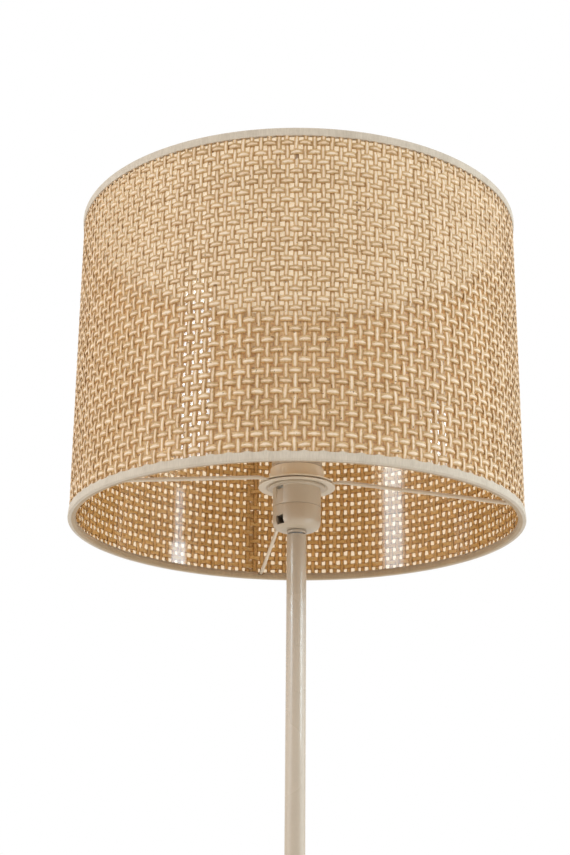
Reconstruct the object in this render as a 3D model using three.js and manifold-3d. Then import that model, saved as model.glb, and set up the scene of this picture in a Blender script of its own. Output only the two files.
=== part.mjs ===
// Woven rattan floor lamp: a weighted round base, a three-piece steel pole, a screw lampholder and a drum shade.
// Millimetres, +Z up, origin on the floor under the pole. The back of the lamp, where its lead leaves, is +Y.

import * as THREE from "three";
import { mergeVertices } from "three/addons/utils/BufferGeometryUtils.js";
import Module from "manifold-3d";

const wasm = await Module();
wasm.setup();

// Driving dimensions of the whole lamp
const LAMP_HEIGHT = 1500;
const SHADE_DIAMETER = 350;
const SHADE_HEIGHT = 250;
const POLE_DIAMETER = 15.2;
const BASE_DIAMETER = 250;
const BASE_HEIGHT = 30;

// Clearance between pieces that touch, the closer one between the shade's layers, and the overrun of a cut
const CLEARANCE = 0.3;
const LAYER_GAP = 0.2;
const OVERRUN = 2;

// Facets round each kind of turned piece
const SHADE_FACETS = 60;
const BASE_FACETS = 48;
const HOLDER_FACETS = 24;
const POLE_FACETS = 16;
const SCREW_FACETS = 8;
const WIRE_FACETS = 8;
const RING_FACETS = 6;

// Shade
const WEAVE_THICKNESS = 1.8;
const LINER_THICKNESS = 0.4;
const SEAM_WIDTH = 12;
const SEAM_AZIMUTH = 103.5;
const SEAM_STEPS = 3;
const RING_WIRE_DIAMETER = 2.2;
const TAPE_THICKNESS = 0.5;
const TAPE_LEG = 6;
const TAPE_CHAMFER = 1;

// Spider that carries the shade: a dished plate, and wire arms with flattened ends
const SPIDER_RISE = 33.1;
const PLATE_DIAMETER = 60;
const PLATE_THICKNESS = 0.8;
const PLATE_DISH = 1;
const PLATE_SLOPE_WIDTH = 1.6;
const ARM_COUNT = 3;
const ARM_AZIMUTH = 101;
const ARM_DIAMETER = 3;
const ARM_TONGUE_WIDTH = 4.6;
const ARM_TONGUE_THICKNESS = 0.8;
const ARM_TONGUE_OVERLAP = 4.5;
const ARM_LEVEL_LENGTH = 6;
const ARM_BEND_REACH = 4;

// Lampholder
const HOLDER_DIAMETER = 37.3;
const HOLDER_WALL = 1.8;
const DOME_HEIGHT = 17.7;
const DOME_CORNER = 9;
const DOME_CORNER_STEPS = 4;
const DOME_FLOOR = 3.5;
const SHELL_BODY_HEIGHT = 15;
const FLANGE_DIAMETER = 44;
const FLANGE_THICKNESS = 1.8;
const SKIRT_DIAMETER = 39.4;
const SKIRT_LENGTH = 25;
const SKIRT_THREAD_PITCH = 2.5;
const SKIRT_THREAD_DEPTH = 0.5;
const SKIRT_PLAIN_END = 2;
const LATCH_AZIMUTHS = [224, 44];
const LATCH_WINDOW_WIDTH = 7;
const LATCH_WINDOW_HEIGHT = 5.6;
const LATCH_WINDOW_RISE = 4.2;
const RELEASE_SLOT_WIDTH = 8;
const RELEASE_SLOT_DEPTH = 1;

// Clamp ring that holds the spider plate down on the lampholder's flange
const CLAMP_FLANGE_DIAMETER = 59;
const CLAMP_FLANGE_THICKNESS = 1.2;
const CLAMP_WALL_DIAMETER = 41.6;
const CLAMP_HEIGHT = 12.8;
const CLAMP_PAD_COUNT = 3;
const CLAMP_PAD_AZIMUTH = 266.5;
const CLAMP_PAD_STEPS = 4;
const CLAMP_PAD_THICKNESS = 0.5;
const CLAMP_PAD_HEIGHT = 9;

// Contact block, bulb thread and contacts in the lampholder
const BLOCK_DROP = 4;
const BLOCK_FLOOR = 7;
const BLOCK_WALL = 2;
const BLOCK_RIM = 1;
const SLEEVE_THREAD_DEPTH = 1.1;
const SLEEVE_PITCH = 3.6;
const SLEEVE_TURNS = 6;
const SLEEVE_WALL = 0.7;
const CONTACT_WIDTH = 6;
const CONTACT_THICKNESS = 0.6;
const CONTACT_RISE = 5;
const CONTACT_LENGTH = 11;
const TERMINAL_OFFSET = 7;
const TERMINAL_HEAD_DIAMETER = 5;
const TERMINAL_HEAD_HEIGHT = 2;
const TERMINAL_SHAFT_DIAMETER = 2.6;
const TERMINAL_SHAFT_LENGTH = 4.5;

// Threaded hollow rods, the locknut, and the bushes that the rods screw into
const ROD_DIAMETER = 9.6;
const ROD_BORE = 7;
const BUSH_LENGTH = 20;
const NIPPLE_IN_POLE = 14;
const NIPPLE_IN_DOME = 2;
const STUD_IN_POLE = 18;
const LOCKNUT_HEIGHT = 3;
const LOCKNUT_DIAMETER = 14.8;

// Pole
const TUBE_WALL = 1;
const TUBE_COUNT = 3;
const COUPLER_PLUG = 16;
const COUPLER_COLLAR = 1.5;
const POLE_COLLAR_HEIGHT = 14;
const POLE_COLLAR_WALL = 2;
const POLE_COLLAR_FLARE = 6;
const POLE_COLLAR_STEPS = 3;

// Base
const COVER_THICKNESS = 1.2;
const COVER_CORNER = 8;
const COVER_CORNER_STEPS = 3;
const FOOT_HEIGHT = 3;
const FOOT_DIAMETER = 20;
const FOOT_TAPER = 1;
const FOOT_COUNT = 4;
const FOOT_INSET = 17;
const UNDERPLATE_THICKNESS = 1.2;
const WEIGHT_THICKNESS = 12;
const WEIGHT_INSET = 8;
const POCKET_DIAMETER = 36;
const POCKET_DEPTH = 8.5;
const WASHER_DIAMETER = 26;
const WASHER_THICKNESS = 1.2;
const NUT_ACROSS_CORNERS = 19;
const NUT_HEIGHT = 4;
const NUT_SIDES = 6;
const POST_COUNT = 3;
const POST_DIAMETER = 10;
const POST_INSET = 45;
const POST_AZIMUTH = 30;
const SCREW_HEAD_DIAMETER = 6.8;
const SCREW_HEAD_HEIGHT = 1.8;
const SCREW_HEAD_RECESS = 0.8;
const SCREW_SHAFT_DIAMETER = 3;
const SCREW_GRIP = 5.5;

// Lead inside the lamp, its cores, the gland that it ends in and the saddle that grips it
const LEAD_DIAMETER = 5.2;
const LEAD_FACETS = 8;
const LEAD_BEND = 8.4;
const LEAD_BEND_STEPS = 4;
const CORE_DIAMETER = 2.2;
const CORE_FACETS = 6;
const CORE_STEPS = 5;
const GLAND_FLANGE = 11;
const GLAND_NECK = 8.6;
const GLAND_OUTER_LENGTH = 4;
const GLAND_INNER_LENGTH = 2;
const GLAND_MOUTH = 3;
const SADDLE_INSET = 48;
const SADDLE_LENGTH = 8;
const SADDLE_WALL = 1.6;
const SADDLE_EAR = 7;
const SADDLE_SCREW_HEAD_DIAMETER = 5;
const SADDLE_SCREW_HEAD_HEIGHT = 1.6;
const SADDLE_SCREW_SHAFT_DIAMETER = 2.6;

// Radii and heights of the shade, worked out from the sizes above
const shadeRadius = SHADE_DIAMETER / 2;
const shadeBottom = LAMP_HEIGHT - SHADE_HEIGHT;
const linerOuter = shadeRadius - WEAVE_THICKNESS - LAYER_GAP;
const linerInner = linerOuter - LINER_THICKNESS;
const ringWireRadius = RING_WIRE_DIAMETER / 2;
const ringRadius = linerInner - LAYER_GAP - ringWireRadius;
const tapeOuter = shadeRadius + LAYER_GAP + TAPE_THICKNESS;
const tapeInner = ringRadius - ringWireRadius - LAYER_GAP - TAPE_THICKNESS;
const tapeFloor = 2 * TAPE_THICKNESS;
const panelInset = tapeFloor + LAYER_GAP;
const ringRise = panelInset + ringWireRadius;

// Radii and heights of the lampholder: heights are above its own bottom face
const flangeTop = DOME_HEIGHT + CLEARANCE + SHELL_BODY_HEIGHT + FLANGE_THICKNESS;
const holderBottom = shadeBottom + SPIDER_RISE - CLEARANCE - flangeTop;
const holderRadius = HOLDER_DIAMETER / 2;
const holderBore = holderRadius - HOLDER_WALL;
const flangeRadius = FLANGE_DIAMETER / 2;
const skirtRadius = SKIRT_DIAMETER / 2;
const skirtBore = skirtRadius + CLEARANCE;
const blockRadius = holderBore - CLEARANCE;
const blockBottom = DOME_HEIGHT - BLOCK_DROP;
const blockFloorTop = blockBottom + BLOCK_FLOOR;
const sleeveOuter = blockRadius - BLOCK_WALL - CLEARANCE;
const sleeveLength = SLEEVE_TURNS * SLEEVE_PITCH;

// Radii and heights of the pole and the base
const poleRadius = POLE_DIAMETER / 2;
const tubeBore = poleRadius - TUBE_WALL;
const plugRadius = tubeBore - CLEARANCE;
const rodRadius = ROD_DIAMETER / 2;
const rodHole = rodRadius + CLEARANCE;
const rodBore = ROD_BORE / 2;
const locknutBottom = holderBottom - CLEARANCE - LOCKNUT_HEIGHT;
const poleTop = locknutBottom - CLEARANCE;
const poleBottom = BASE_HEIGHT + CLEARANCE;
const couplerRoom = COUPLER_COLLAR + 2 * CLEARANCE;
const tubeLength = (poleTop - poleBottom - (TUBE_COUNT - 1) * couplerRoom) / TUBE_COUNT;
const baseRadius = BASE_DIAMETER / 2;
const coverRim = FOOT_HEIGHT + CLEARANCE;
const underplateTop = coverRim + UNDERPLATE_THICKNESS;
const weightTop = BASE_HEIGHT - COVER_THICKNESS - CLEARANCE;
const weightBottom = weightTop - WEIGHT_THICKNESS;
const washerTop = weightBottom + POCKET_DEPTH - CLEARANCE;
const nutTop = washerTop - WASHER_THICKNESS - CLEARANCE;
const studBottom = nutTop - NUT_HEIGHT - CLEARANCE;
const leadRadius = LEAD_DIAMETER / 2;
const leadHeight = studBottom - LEAD_BEND;
const saddleReach = baseRadius - SADDLE_INSET;
const saddleHalfChannel = leadRadius + CLEARANCE;
const saddleScrewOffset = saddleHalfChannel + SADDLE_WALL + SADDLE_EAR / 2;

// Finishes
const finish = (color, roughness, metalness, extra = {}) =>
  new THREE.MeshStandardMaterial({ color, roughness, metalness, ...extra });
const rattan = finish(0xcda976, 0.75, 0);
const clearFilm = finish(0xf4ead8, 0.12, 0, { transparent: true, opacity: 0.25 });
const trimTape = finish(0xcfc2ae, 0.9, 0);
const creamMetal = finish(0xc7b9a3, 0.32, 0.1);
const creamPlastic = finish(0xb7a58b, 0.5, 0);
const castIron = finish(0x3c3d3f, 0.7, 0.6);
const blackPlastic = finish(0x2a2a2b, 0.6, 0);
const brass = finish(0xb9924a, 0.3, 1);
const ceramic = finish(0xe9e4d8, 0.3, 0);
const rubber = finish(0x262626, 0.85, 0);
const zincSteel = finish(0xb4b6b8, 0.35, 0.9);
const liveBrown = finish(0x6b4127, 0.5, 0);
const neutralBlue = finish(0x2f5f9e, 0.5, 0);

// Shapes that several pieces share

const radians = (degrees) => (degrees * Math.PI) / 180;

/** The azimuths of a number of places spread evenly round the axis, in degrees. */
const spread = (count, first) => Array.from({ length: count }, (_, i) => first + (360 * i) / count);

/** A ring or disc turned from a closed outline of [radius, height] points about the Z axis. */
function turned(outline, facets) {
  const next = (i) => outline[(i + 1) % outline.length];
  const twiceArea = outline.reduce((sum, p, i) => sum + p[0] * next(i)[1] - next(i)[0] * p[1], 0);
  const ordered = twiceArea > 0 ? outline : [...outline].reverse();
  const points = [...ordered, ordered[0]].map(([radius, height]) => new THREE.Vector2(radius, height));
  return new THREE.LatheGeometry(points, facets).rotateX(Math.PI / 2);
}

/** A plain ring of rectangular section. */
const ringBand = (inner, outer, bottom, top, facets) =>
  turned([[inner, bottom], [outer, bottom], [outer, top], [inner, top]], facets);

/** A disc or pin about the Z axis. */
const pin = (radius, bottom, top, facets) =>
  new THREE.CylinderGeometry(radius, radius, top - bottom, facets)
    .rotateX(Math.PI / 2)
    .translate(0, 0, (bottom + top) / 2);

/** A box from its lowest corner to its highest. */
function boxBetween(low, high) {
  const size = high.map((value, i) => value - low[i]);
  const centre = high.map((value, i) => (value + low[i]) / 2);
  return new THREE.BoxGeometry(...size).translate(...centre);
}

/** A box in a wall: it faces along +X before it is turned to its azimuth. */
const radialBox = (inner, outer, width, bottom, top, azimuth) =>
  boxBetween([inner, -width / 2, bottom], [outer, width / 2, top]).rotateZ(radians(azimuth));

/** Points on part of a circle, as [radius, height]: its centre, its size, and its angles in degrees. */
function arcPoints(radius, height, size, from, to, steps) {
  return Array.from({ length: steps + 1 }, (_, i) => {
    const angle = radians(from + ((to - from) * i) / steps);
    return [radius + size * Math.cos(angle), height + size * Math.sin(angle)];
  });
}

/** Part of a ring seen from above, as a shape: radii, the azimuth of its middle and its width in degrees. */
function sectorShape(inner, outer, azimuth, width, steps) {
  const [low, high] = [azimuth - width / 2, azimuth + width / 2];
  const edge = (radius, from, to) =>
    arcPoints(0, 0, radius, from, to, steps).map(([x, y]) => new THREE.Vector2(x, y));
  return new THREE.Shape([...edge(outer, low, high), ...edge(inner, high, low)]);
}

/** A shape raised from one height to another. */
const raised = (shape, bottom, top) =>
  new THREE.ExtrudeGeometry(shape, { depth: top - bottom, bevelEnabled: false }).translate(0, 0, bottom);

/** A path through stops, read stop by stop and not by its length, so that a wire has one section at each. */
class StopPath extends THREE.Curve {
  constructor(stops) {
    super();
    this.stops = stops;
  }

  getPointAt(share) {
    return this.stops[Math.round(share * (this.stops.length - 1))].clone();
  }

  getTangentAt(share) {
    const i = Math.round(share * (this.stops.length - 1));
    const leg = (from) => this.stops[from + 1].clone().sub(this.stops[from]).normalize();
    const before = leg(Math.max(i - 1, 0));
    return before.add(leg(Math.min(i, this.stops.length - 2))).normalize();
  }
}

/** A round wire along a path of stops. */
function wireAlong(stops, radius, sides) {
  const corners = arcPoints(0, 0, radius, 0, 360, sides).slice(1);
  const section = new THREE.Shape(corners.map(([x, y]) => new THREE.Vector2(x, y)));
  const extrudePath = new StopPath(stops);
  return new THREE.ExtrudeGeometry(section, { steps: stops.length - 1, extrudePath, bevelEnabled: false });
}

/** Stops through corner points, with a short curve of a given reach at each inner corner. */
function roundedStops(corners, reach) {
  const last = corners.length - 1;
  const inner = corners.slice(1, last).flatMap((corner, i) => {
    const enter = corner.clone().add(corners[i].clone().sub(corner).setLength(reach));
    const leave = corner.clone().add(corners[i + 2].clone().sub(corner).setLength(reach));
    return new THREE.QuadraticBezierCurve3(enter, corner, leave).getPoints(2);
  });
  return [corners[0], ...inner, corners[last]];
}

/** A closed geometry as a solid that can be cut and joined. */
function solidOf(geometry) {
  const bare = geometry.index ? geometry.toNonIndexed() : geometry.clone();
  bare.deleteAttribute("normal");
  bare.deleteAttribute("uv");
  const merged = mergeVertices(bare);
  return new wasm.Manifold(
    new wasm.Mesh({
      numProp: 3,
      vertProperties: new Float32Array(merged.attributes.position.array),
      triVerts: new Uint32Array(merged.index.array),
    }),
  );
}

/** The geometry of a solid. */
function geometryOf(solid) {
  const mesh = solid.getMesh();
  const geometry = new THREE.BufferGeometry();
  geometry.setAttribute("position", new THREE.BufferAttribute(mesh.vertProperties, mesh.numProp));
  geometry.setIndex(new THREE.BufferAttribute(mesh.triVerts, 1));
  geometry.computeVertexNormals();
  return geometry;
}

/** A geometry with others cut out of it. */
const cut = (geometry, ...tools) =>
  geometryOf(tools.reduce((solid, tool) => solid.subtract(solidOf(tool)), solidOf(geometry)));

/** Geometries that overlap, joined into one. */
const joined = (first, ...rest) =>
  geometryOf(rest.reduce((solid, geometry) => solid.add(solidOf(geometry)), solidOf(first)));

/** A screw with a round head, head down. */
const screwUp = (headRadius, headHeight, shaftRadius, bottom, top) =>
  joined(
    pin(headRadius, bottom, bottom + headHeight, SCREW_FACETS),
    pin(shaftRadius, bottom, top, SCREW_FACETS),
  );

/** A named mesh in a group. */
function addPiece(group, name, geometry, material) {
  const mesh = new THREE.Mesh(geometry, material);
  mesh.name = name;
  group.add(mesh);
  return mesh;
}

/** A group inside another, raised to a height. */
function subgroup(parent, height = 0) {
  const group = new THREE.Group();
  group.position.z = height;
  parent.add(group);
  return group;
}

// Base

const postPlaces = spread(POST_COUNT, POST_AZIMUTH).map((azimuth) => {
  const reach = baseRadius - POST_INSET;
  return [reach * Math.cos(radians(azimuth)), reach * Math.sin(radians(azimuth))];
});
const saddleScrewPlaces = [-saddleScrewOffset, saddleScrewOffset].map((x) => [x, saddleReach]);

/** The pressed steel cover: a flat top with a rounded edge, a hole for the stud and one for the gland. */
function baseCover() {
  const cornerRadius = baseRadius - COVER_CORNER;
  const cornerHeight = BASE_HEIGHT - COVER_CORNER;
  const innerCorner = COVER_CORNER - COVER_THICKNESS;
  const shell = turned(
    [
      [baseRadius - COVER_THICKNESS, coverRim],
      [baseRadius, coverRim],
      ...arcPoints(cornerRadius, cornerHeight, COVER_CORNER, 0, 90, COVER_CORNER_STEPS),
      [rodHole, BASE_HEIGHT],
      [rodHole, BASE_HEIGHT - COVER_THICKNESS],
      ...arcPoints(cornerRadius, cornerHeight, innerCorner, 90, 0, COVER_CORNER_STEPS),
    ],
    BASE_FACETS,
  );
  const glandHole = pin(GLAND_NECK / 2 + CLEARANCE, -COVER_CORNER, COVER_CORNER, POLE_FACETS)
    .rotateX(-Math.PI / 2)
    .translate(0, baseRadius, leadHeight);
  return cut(shell, glandHole);
}

/** A blind hole in the weight for a screw that comes up from below. */
const blindHole = (shaftDiameter, [x, y]) =>
  pin(
    shaftDiameter / 2 + CLEARANCE,
    weightBottom - OVERRUN,
    weightBottom + SCREW_GRIP + CLEARANCE,
    SCREW_FACETS,
  ).translate(x, y, 0);

/** The cast disc that keeps the lamp upright, with a pocket for the nut and holes for the screws. */
function baseWeight() {
  const disc = ringBand(rodHole, baseRadius - WEIGHT_INSET, weightBottom, weightTop, BASE_FACETS);
  const pocket = pin(POCKET_DIAMETER / 2, weightBottom - OVERRUN, weightBottom + POCKET_DEPTH, HOLDER_FACETS);
  const postHoles = postPlaces.map((place) => blindHole(SCREW_SHAFT_DIAMETER, place));
  const saddleHoles = saddleScrewPlaces.map((place) => blindHole(SADDLE_SCREW_SHAFT_DIAMETER, place));
  return cut(disc, pocket, ...postHoles, ...saddleHoles);
}

/** The moulded tray under the base, with posts up to the weight and a recess in each for a screw head. */
function baseUnderplate() {
  const plate = pin(baseRadius - COVER_THICKNESS - CLEARANCE, coverRim, underplateTop, BASE_FACETS);
  const posts = postPlaces.map(([x, y]) =>
    pin(POST_DIAMETER / 2, coverRim, weightBottom - CLEARANCE, HOLDER_FACETS).translate(x, y, 0),
  );
  const headTop = coverRim + SCREW_HEAD_RECESS + SCREW_HEAD_HEIGHT + CLEARANCE;
  const recesses = postPlaces.map(([x, y]) =>
    joined(
      pin(SCREW_HEAD_DIAMETER / 2 + CLEARANCE, coverRim - OVERRUN, headTop, SCREW_FACETS),
      pin(SCREW_SHAFT_DIAMETER / 2 + CLEARANCE, coverRim, weightBottom + OVERRUN, SCREW_FACETS),
    ).translate(x, y, 0),
  );
  return cut(joined(plate, ...posts), ...recesses);
}

/** The saddle that grips the lead under the weight, with an ear for a screw on each side. */
function cordSaddle() {
  const top = weightBottom - CLEARANCE;
  const half = saddleHalfChannel + SADDLE_WALL;
  const low = leadHeight - half;
  const [front, back] = [saddleReach - SADDLE_LENGTH / 2, saddleReach + SADDLE_LENGTH / 2];
  const block = boxBetween([-half, front, low], [half, back, top]);
  const ears = boxBetween([-half - SADDLE_EAR, front, top - SADDLE_WALL], [half + SADDLE_EAR, back, top]);
  const channel = boxBetween(
    [-saddleHalfChannel, front - OVERRUN, leadHeight - saddleHalfChannel],
    [saddleHalfChannel, back + OVERRUN, top + OVERRUN],
  );
  const holes = saddleScrewPlaces.map(([x, y]) =>
    pin(SADDLE_SCREW_SHAFT_DIAMETER / 2 + CLEARANCE, low, top + OVERRUN, SCREW_FACETS).translate(x, y, 0),
  );
  return cut(joined(block, ears), channel, ...holes);
}

/** The bush in the cover's rear wall that the lead leaves through: its axis is Y. */
function cableGland() {
  const bore = leadRadius + CLEARANCE;
  const inside = -COVER_THICKNESS - 2 * CLEARANCE;
  const bush = turned(
    [
      [bore, inside - GLAND_INNER_LENGTH],
      [GLAND_FLANGE / 2, inside - GLAND_INNER_LENGTH],
      [GLAND_FLANGE / 2, inside],
      [GLAND_NECK / 2, inside],
      [GLAND_NECK / 2, CLEARANCE],
      [GLAND_FLANGE / 2, CLEARANCE],
      [GLAND_NECK / 2, CLEARANCE + GLAND_OUTER_LENGTH],
      [bore, CLEARANCE + GLAND_OUTER_LENGTH],
    ],
    POLE_FACETS,
  );
  return bush.rotateX(-Math.PI / 2).translate(0, baseRadius, leadHeight);
}

/** The hexagon nut under the weight that draws the stud down. */
function baseNut() {
  const hexagon = pin(NUT_ACROSS_CORNERS / 2, nutTop - NUT_HEIGHT, nutTop, NUT_SIDES);
  return cut(hexagon, pin(rodHole, nutTop - NUT_HEIGHT - OVERRUN, nutTop + OVERRUN, POLE_FACETS));
}

/** A screw from below through a post of the underplate. */
const underplateScrew = () =>
  screwUp(
    SCREW_HEAD_DIAMETER / 2,
    SCREW_HEAD_HEIGHT,
    SCREW_SHAFT_DIAMETER / 2,
    coverRim + SCREW_HEAD_RECESS,
    weightBottom + SCREW_GRIP,
  );

/** A screw from below through an ear of the saddle. */
function saddleScrew() {
  const headTop = weightBottom - CLEARANCE - SADDLE_WALL - CLEARANCE;
  return screwUp(
    SADDLE_SCREW_HEAD_DIAMETER / 2,
    SADDLE_SCREW_HEAD_HEIGHT,
    SADDLE_SCREW_SHAFT_DIAMETER / 2,
    headTop - SADDLE_SCREW_HEAD_HEIGHT,
    weightBottom + SCREW_GRIP,
  );
}

/** A rubber foot, a little narrower at the floor. */
const rubberFoot = () =>
  new THREE.CylinderGeometry(FOOT_DIAMETER / 2, FOOT_DIAMETER / 2 - FOOT_TAPER, FOOT_HEIGHT, POLE_FACETS)
    .rotateX(Math.PI / 2)
    .translate(0, 0, FOOT_HEIGHT / 2);

function addBase(root) {
  const base = subgroup(root);
  addPiece(base, "base_cover", baseCover(), creamMetal);
  addPiece(base, "base_weight", baseWeight(), castIron);
  addPiece(base, "base_underplate", baseUnderplate(), blackPlastic);
  spread(FOOT_COUNT, 180 / FOOT_COUNT).forEach((azimuth, i) => {
    const reach = baseRadius - FOOT_INSET;
    const foot = addPiece(base, `rubber_foot_${i + 1}`, rubberFoot(), rubber);
    foot.position.set(reach * Math.cos(radians(azimuth)), reach * Math.sin(radians(azimuth)), 0);
  });
  postPlaces.forEach(([x, y], i) => {
    addPiece(base, `underplate_screw_${i + 1}`, underplateScrew(), zincSteel).position.set(x, y, 0);
  });
  const washer = ringBand(rodHole, WASHER_DIAMETER / 2, washerTop - WASHER_THICKNESS, washerTop, POLE_FACETS);
  addPiece(base, "base_washer", washer, zincSteel);
  addPiece(base, "base_nut", baseNut(), zincSteel);
  const stud = ringBand(rodBore, rodRadius, studBottom, poleBottom + STUD_IN_POLE, POLE_FACETS);
  addPiece(base, "base_stud", stud, zincSteel);
  addPiece(base, "cable_gland", cableGland(), blackPlastic);
  addPiece(base, "cord_saddle", cordSaddle(), blackPlastic);
  saddleScrewPlaces.forEach(([x, y], i) => {
    addPiece(base, `saddle_screw_${i + 1}`, saddleScrew(), zincSteel).position.set(x, y, 0);
  });
}

// Pole

/** The plug that joins two tubes, with a thin collar that shows between them. */
const poleCoupler = () =>
  turned(
    [
      [rodBore, -COUPLER_PLUG],
      [plugRadius, -COUPLER_PLUG],
      [plugRadius, -COUPLER_COLLAR / 2],
      [poleRadius, -COUPLER_COLLAR / 2],
      [poleRadius, COUPLER_COLLAR / 2],
      [plugRadius, COUPLER_COLLAR / 2],
      [plugRadius, COUPLER_PLUG],
      [rodBore, COUPLER_PLUG],
    ],
    POLE_FACETS,
  );

/** The threaded bush fixed in a tube's end, which a hollow rod screws into. */
const poleBush = () => ringBand(rodHole, plugRadius, 0, BUSH_LENGTH, POLE_FACETS);

/** The trim ring that covers the foot of the pole. */
function poleCollar() {
  const bore = poleRadius + CLEARANCE;
  const neck = bore + POLE_COLLAR_WALL;
  const foot = neck + POLE_COLLAR_FLARE;
  const flareTop = POLE_COLLAR_WALL + POLE_COLLAR_FLARE;
  return turned(
    [
      [bore, 0],
      [foot, 0],
      ...arcPoints(foot, flareTop, POLE_COLLAR_FLARE, 270, 180, POLE_COLLAR_STEPS),
      [neck, POLE_COLLAR_HEIGHT],
      [bore, POLE_COLLAR_HEIGHT],
    ],
    HOLDER_FACETS,
  );
}

function addPole(root) {
  const pole = subgroup(root, poleBottom);
  const step = tubeLength + couplerRoom;
  for (let i = 0; i < TUBE_COUNT; i += 1) {
    const tube = ringBand(tubeBore, poleRadius, 0, tubeLength, POLE_FACETS);
    addPiece(pole, `pole_tube_${i + 1}`, tube, creamMetal).position.z = i * step;
  }
  for (let i = 1; i < TUBE_COUNT; i += 1) {
    addPiece(pole, `pole_coupler_${i}`, poleCoupler(), zincSteel).position.z = i * step - couplerRoom / 2;
  }
  addPiece(pole, "pole_bottom_bush", poleBush(), zincSteel);
  addPiece(pole, "pole_top_bush", poleBush(), zincSteel).position.z = poleTop - poleBottom - BUSH_LENGTH;
  addPiece(pole, "pole_foot_collar", poleCollar(), creamMetal);
}

// Lampholder, built about its own bottom face

/** A thread's ridges up a wall, as an outline that goes from root to crest and back for each turn. */
const threadOutline = (crest, root, from, turns, pitch) =>
  Array.from({ length: 2 * turns + 1 }, (_, i) => [i % 2 ? crest : root, from + (i * pitch) / 2]);

/** The lower half of the lampholder: a rounded cup with a hole in its floor and two latch windows. */
function holderDome() {
  const corner = holderRadius - DOME_CORNER;
  const innerCorner = DOME_CORNER - HOLDER_WALL;
  const cup = turned(
    [
      [rodHole, 0],
      ...arcPoints(corner, DOME_CORNER, DOME_CORNER, 270, 360, DOME_CORNER_STEPS),
      [holderRadius, DOME_HEIGHT],
      [holderBore, DOME_HEIGHT],
      [holderBore, DOME_FLOOR + innerCorner],
      [corner, DOME_FLOOR],
      [rodHole, DOME_FLOOR],
    ],
    HOLDER_FACETS,
  );
  const windows = LATCH_AZIMUTHS.map((azimuth) =>
    radialBox(
      corner,
      holderRadius + OVERRUN,
      LATCH_WINDOW_WIDTH,
      LATCH_WINDOW_RISE,
      LATCH_WINDOW_RISE + LATCH_WINDOW_HEIGHT,
      azimuth,
    ),
  );
  return cut(cup, ...windows);
}

/** The upper half: a body, the flange that the spider plate rests on, and a threaded skirt. */
function holderShell() {
  const bottom = DOME_HEIGHT + CLEARANCE;
  const flangeBottom = bottom + SHELL_BODY_HEIGHT;
  const root = skirtRadius - SKIRT_THREAD_DEPTH;
  const turns = Math.floor((SKIRT_LENGTH - 2 * SKIRT_PLAIN_END) / SKIRT_THREAD_PITCH);
  const body = turned(
    [
      [holderBore, bottom],
      [holderRadius, bottom],
      [holderRadius, flangeBottom],
      [flangeRadius, flangeBottom],
      [flangeRadius, flangeTop],
      [root, flangeTop],
      ...threadOutline(skirtRadius, root, flangeTop + SKIRT_PLAIN_END, turns, SKIRT_THREAD_PITCH),
      [root, flangeTop + SKIRT_LENGTH],
      [holderBore, flangeTop + SKIRT_LENGTH],
    ],
    HOLDER_FACETS,
  );
  const slots = LATCH_AZIMUTHS.map((azimuth) =>
    radialBox(
      holderRadius - RELEASE_SLOT_DEPTH,
      holderRadius + OVERRUN,
      RELEASE_SLOT_WIDTH,
      bottom - OVERRUN,
      flangeBottom,
      azimuth,
    ),
  );
  return cut(body, ...slots);
}

/** The ceramic block: a floor with holes for the terminal screws, and a cup round the bulb thread. */
function contactBlock() {
  const top = blockFloorTop + CLEARANCE + sleeveLength + BLOCK_RIM;
  const cup = turned(
    [
      [0, blockBottom],
      [blockRadius, blockBottom],
      [blockRadius, top],
      [blockRadius - BLOCK_WALL, top],
      [blockRadius - BLOCK_WALL, blockFloorTop],
      [0, blockFloorTop],
    ],
    HOLDER_FACETS,
  );
  const holeRadius = TERMINAL_SHAFT_DIAMETER / 2 + CLEARANCE;
  const holeTop = blockBottom + TERMINAL_SHAFT_LENGTH + CLEARANCE;
  const holes = [-TERMINAL_OFFSET, TERMINAL_OFFSET].map((x) =>
    pin(holeRadius, blockBottom - OVERRUN, holeTop, SCREW_FACETS).translate(x, 0, 0),
  );
  return cut(cup, ...holes);
}

/** The brass thread that the bulb screws into: ridges on a thin sleeve. */
function screwSleeve() {
  const bottom = blockFloorTop + CLEARANCE;
  const major = sleeveOuter - SLEEVE_WALL;
  const thread = threadOutline(major - SLEEVE_THREAD_DEPTH, major, bottom, SLEEVE_TURNS, SLEEVE_PITCH);
  const outside = [[sleeveOuter, bottom], [sleeveOuter, bottom + sleeveLength]];
  return turned([...outside, ...thread.reverse()], HOLDER_FACETS);
}

/** The sprung tongue at the bottom of the socket: a bent strip on the block's floor. */
function centreContact() {
  const half = CONTACT_LENGTH / 2;
  const low = CONTACT_RISE - CONTACT_THICKNESS;
  const profile = new THREE.Shape(
    [
      [-half, 0],
      [-half / 2, 0],
      [half / 2, low],
      [half, low],
      [half, CONTACT_RISE],
      [half / 2, CONTACT_RISE],
      [-half / 2, CONTACT_THICKNESS],
      [-half, CONTACT_THICKNESS],
    ].map(([along, up]) => new THREE.Vector2(along, up)),
  );
  return raised(profile, -CONTACT_WIDTH / 2, CONTACT_WIDTH / 2)
    .rotateX(Math.PI / 2)
    .translate(0, 0, blockFloorTop + CLEARANCE);
}

/** A brass screw from below into the block. */
const terminalScrew = () =>
  screwUp(
    TERMINAL_HEAD_DIAMETER / 2,
    TERMINAL_HEAD_HEIGHT,
    TERMINAL_SHAFT_DIAMETER / 2,
    blockBottom - CLEARANCE - TERMINAL_HEAD_HEIGHT,
    blockBottom + TERMINAL_SHAFT_LENGTH,
  );

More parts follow.
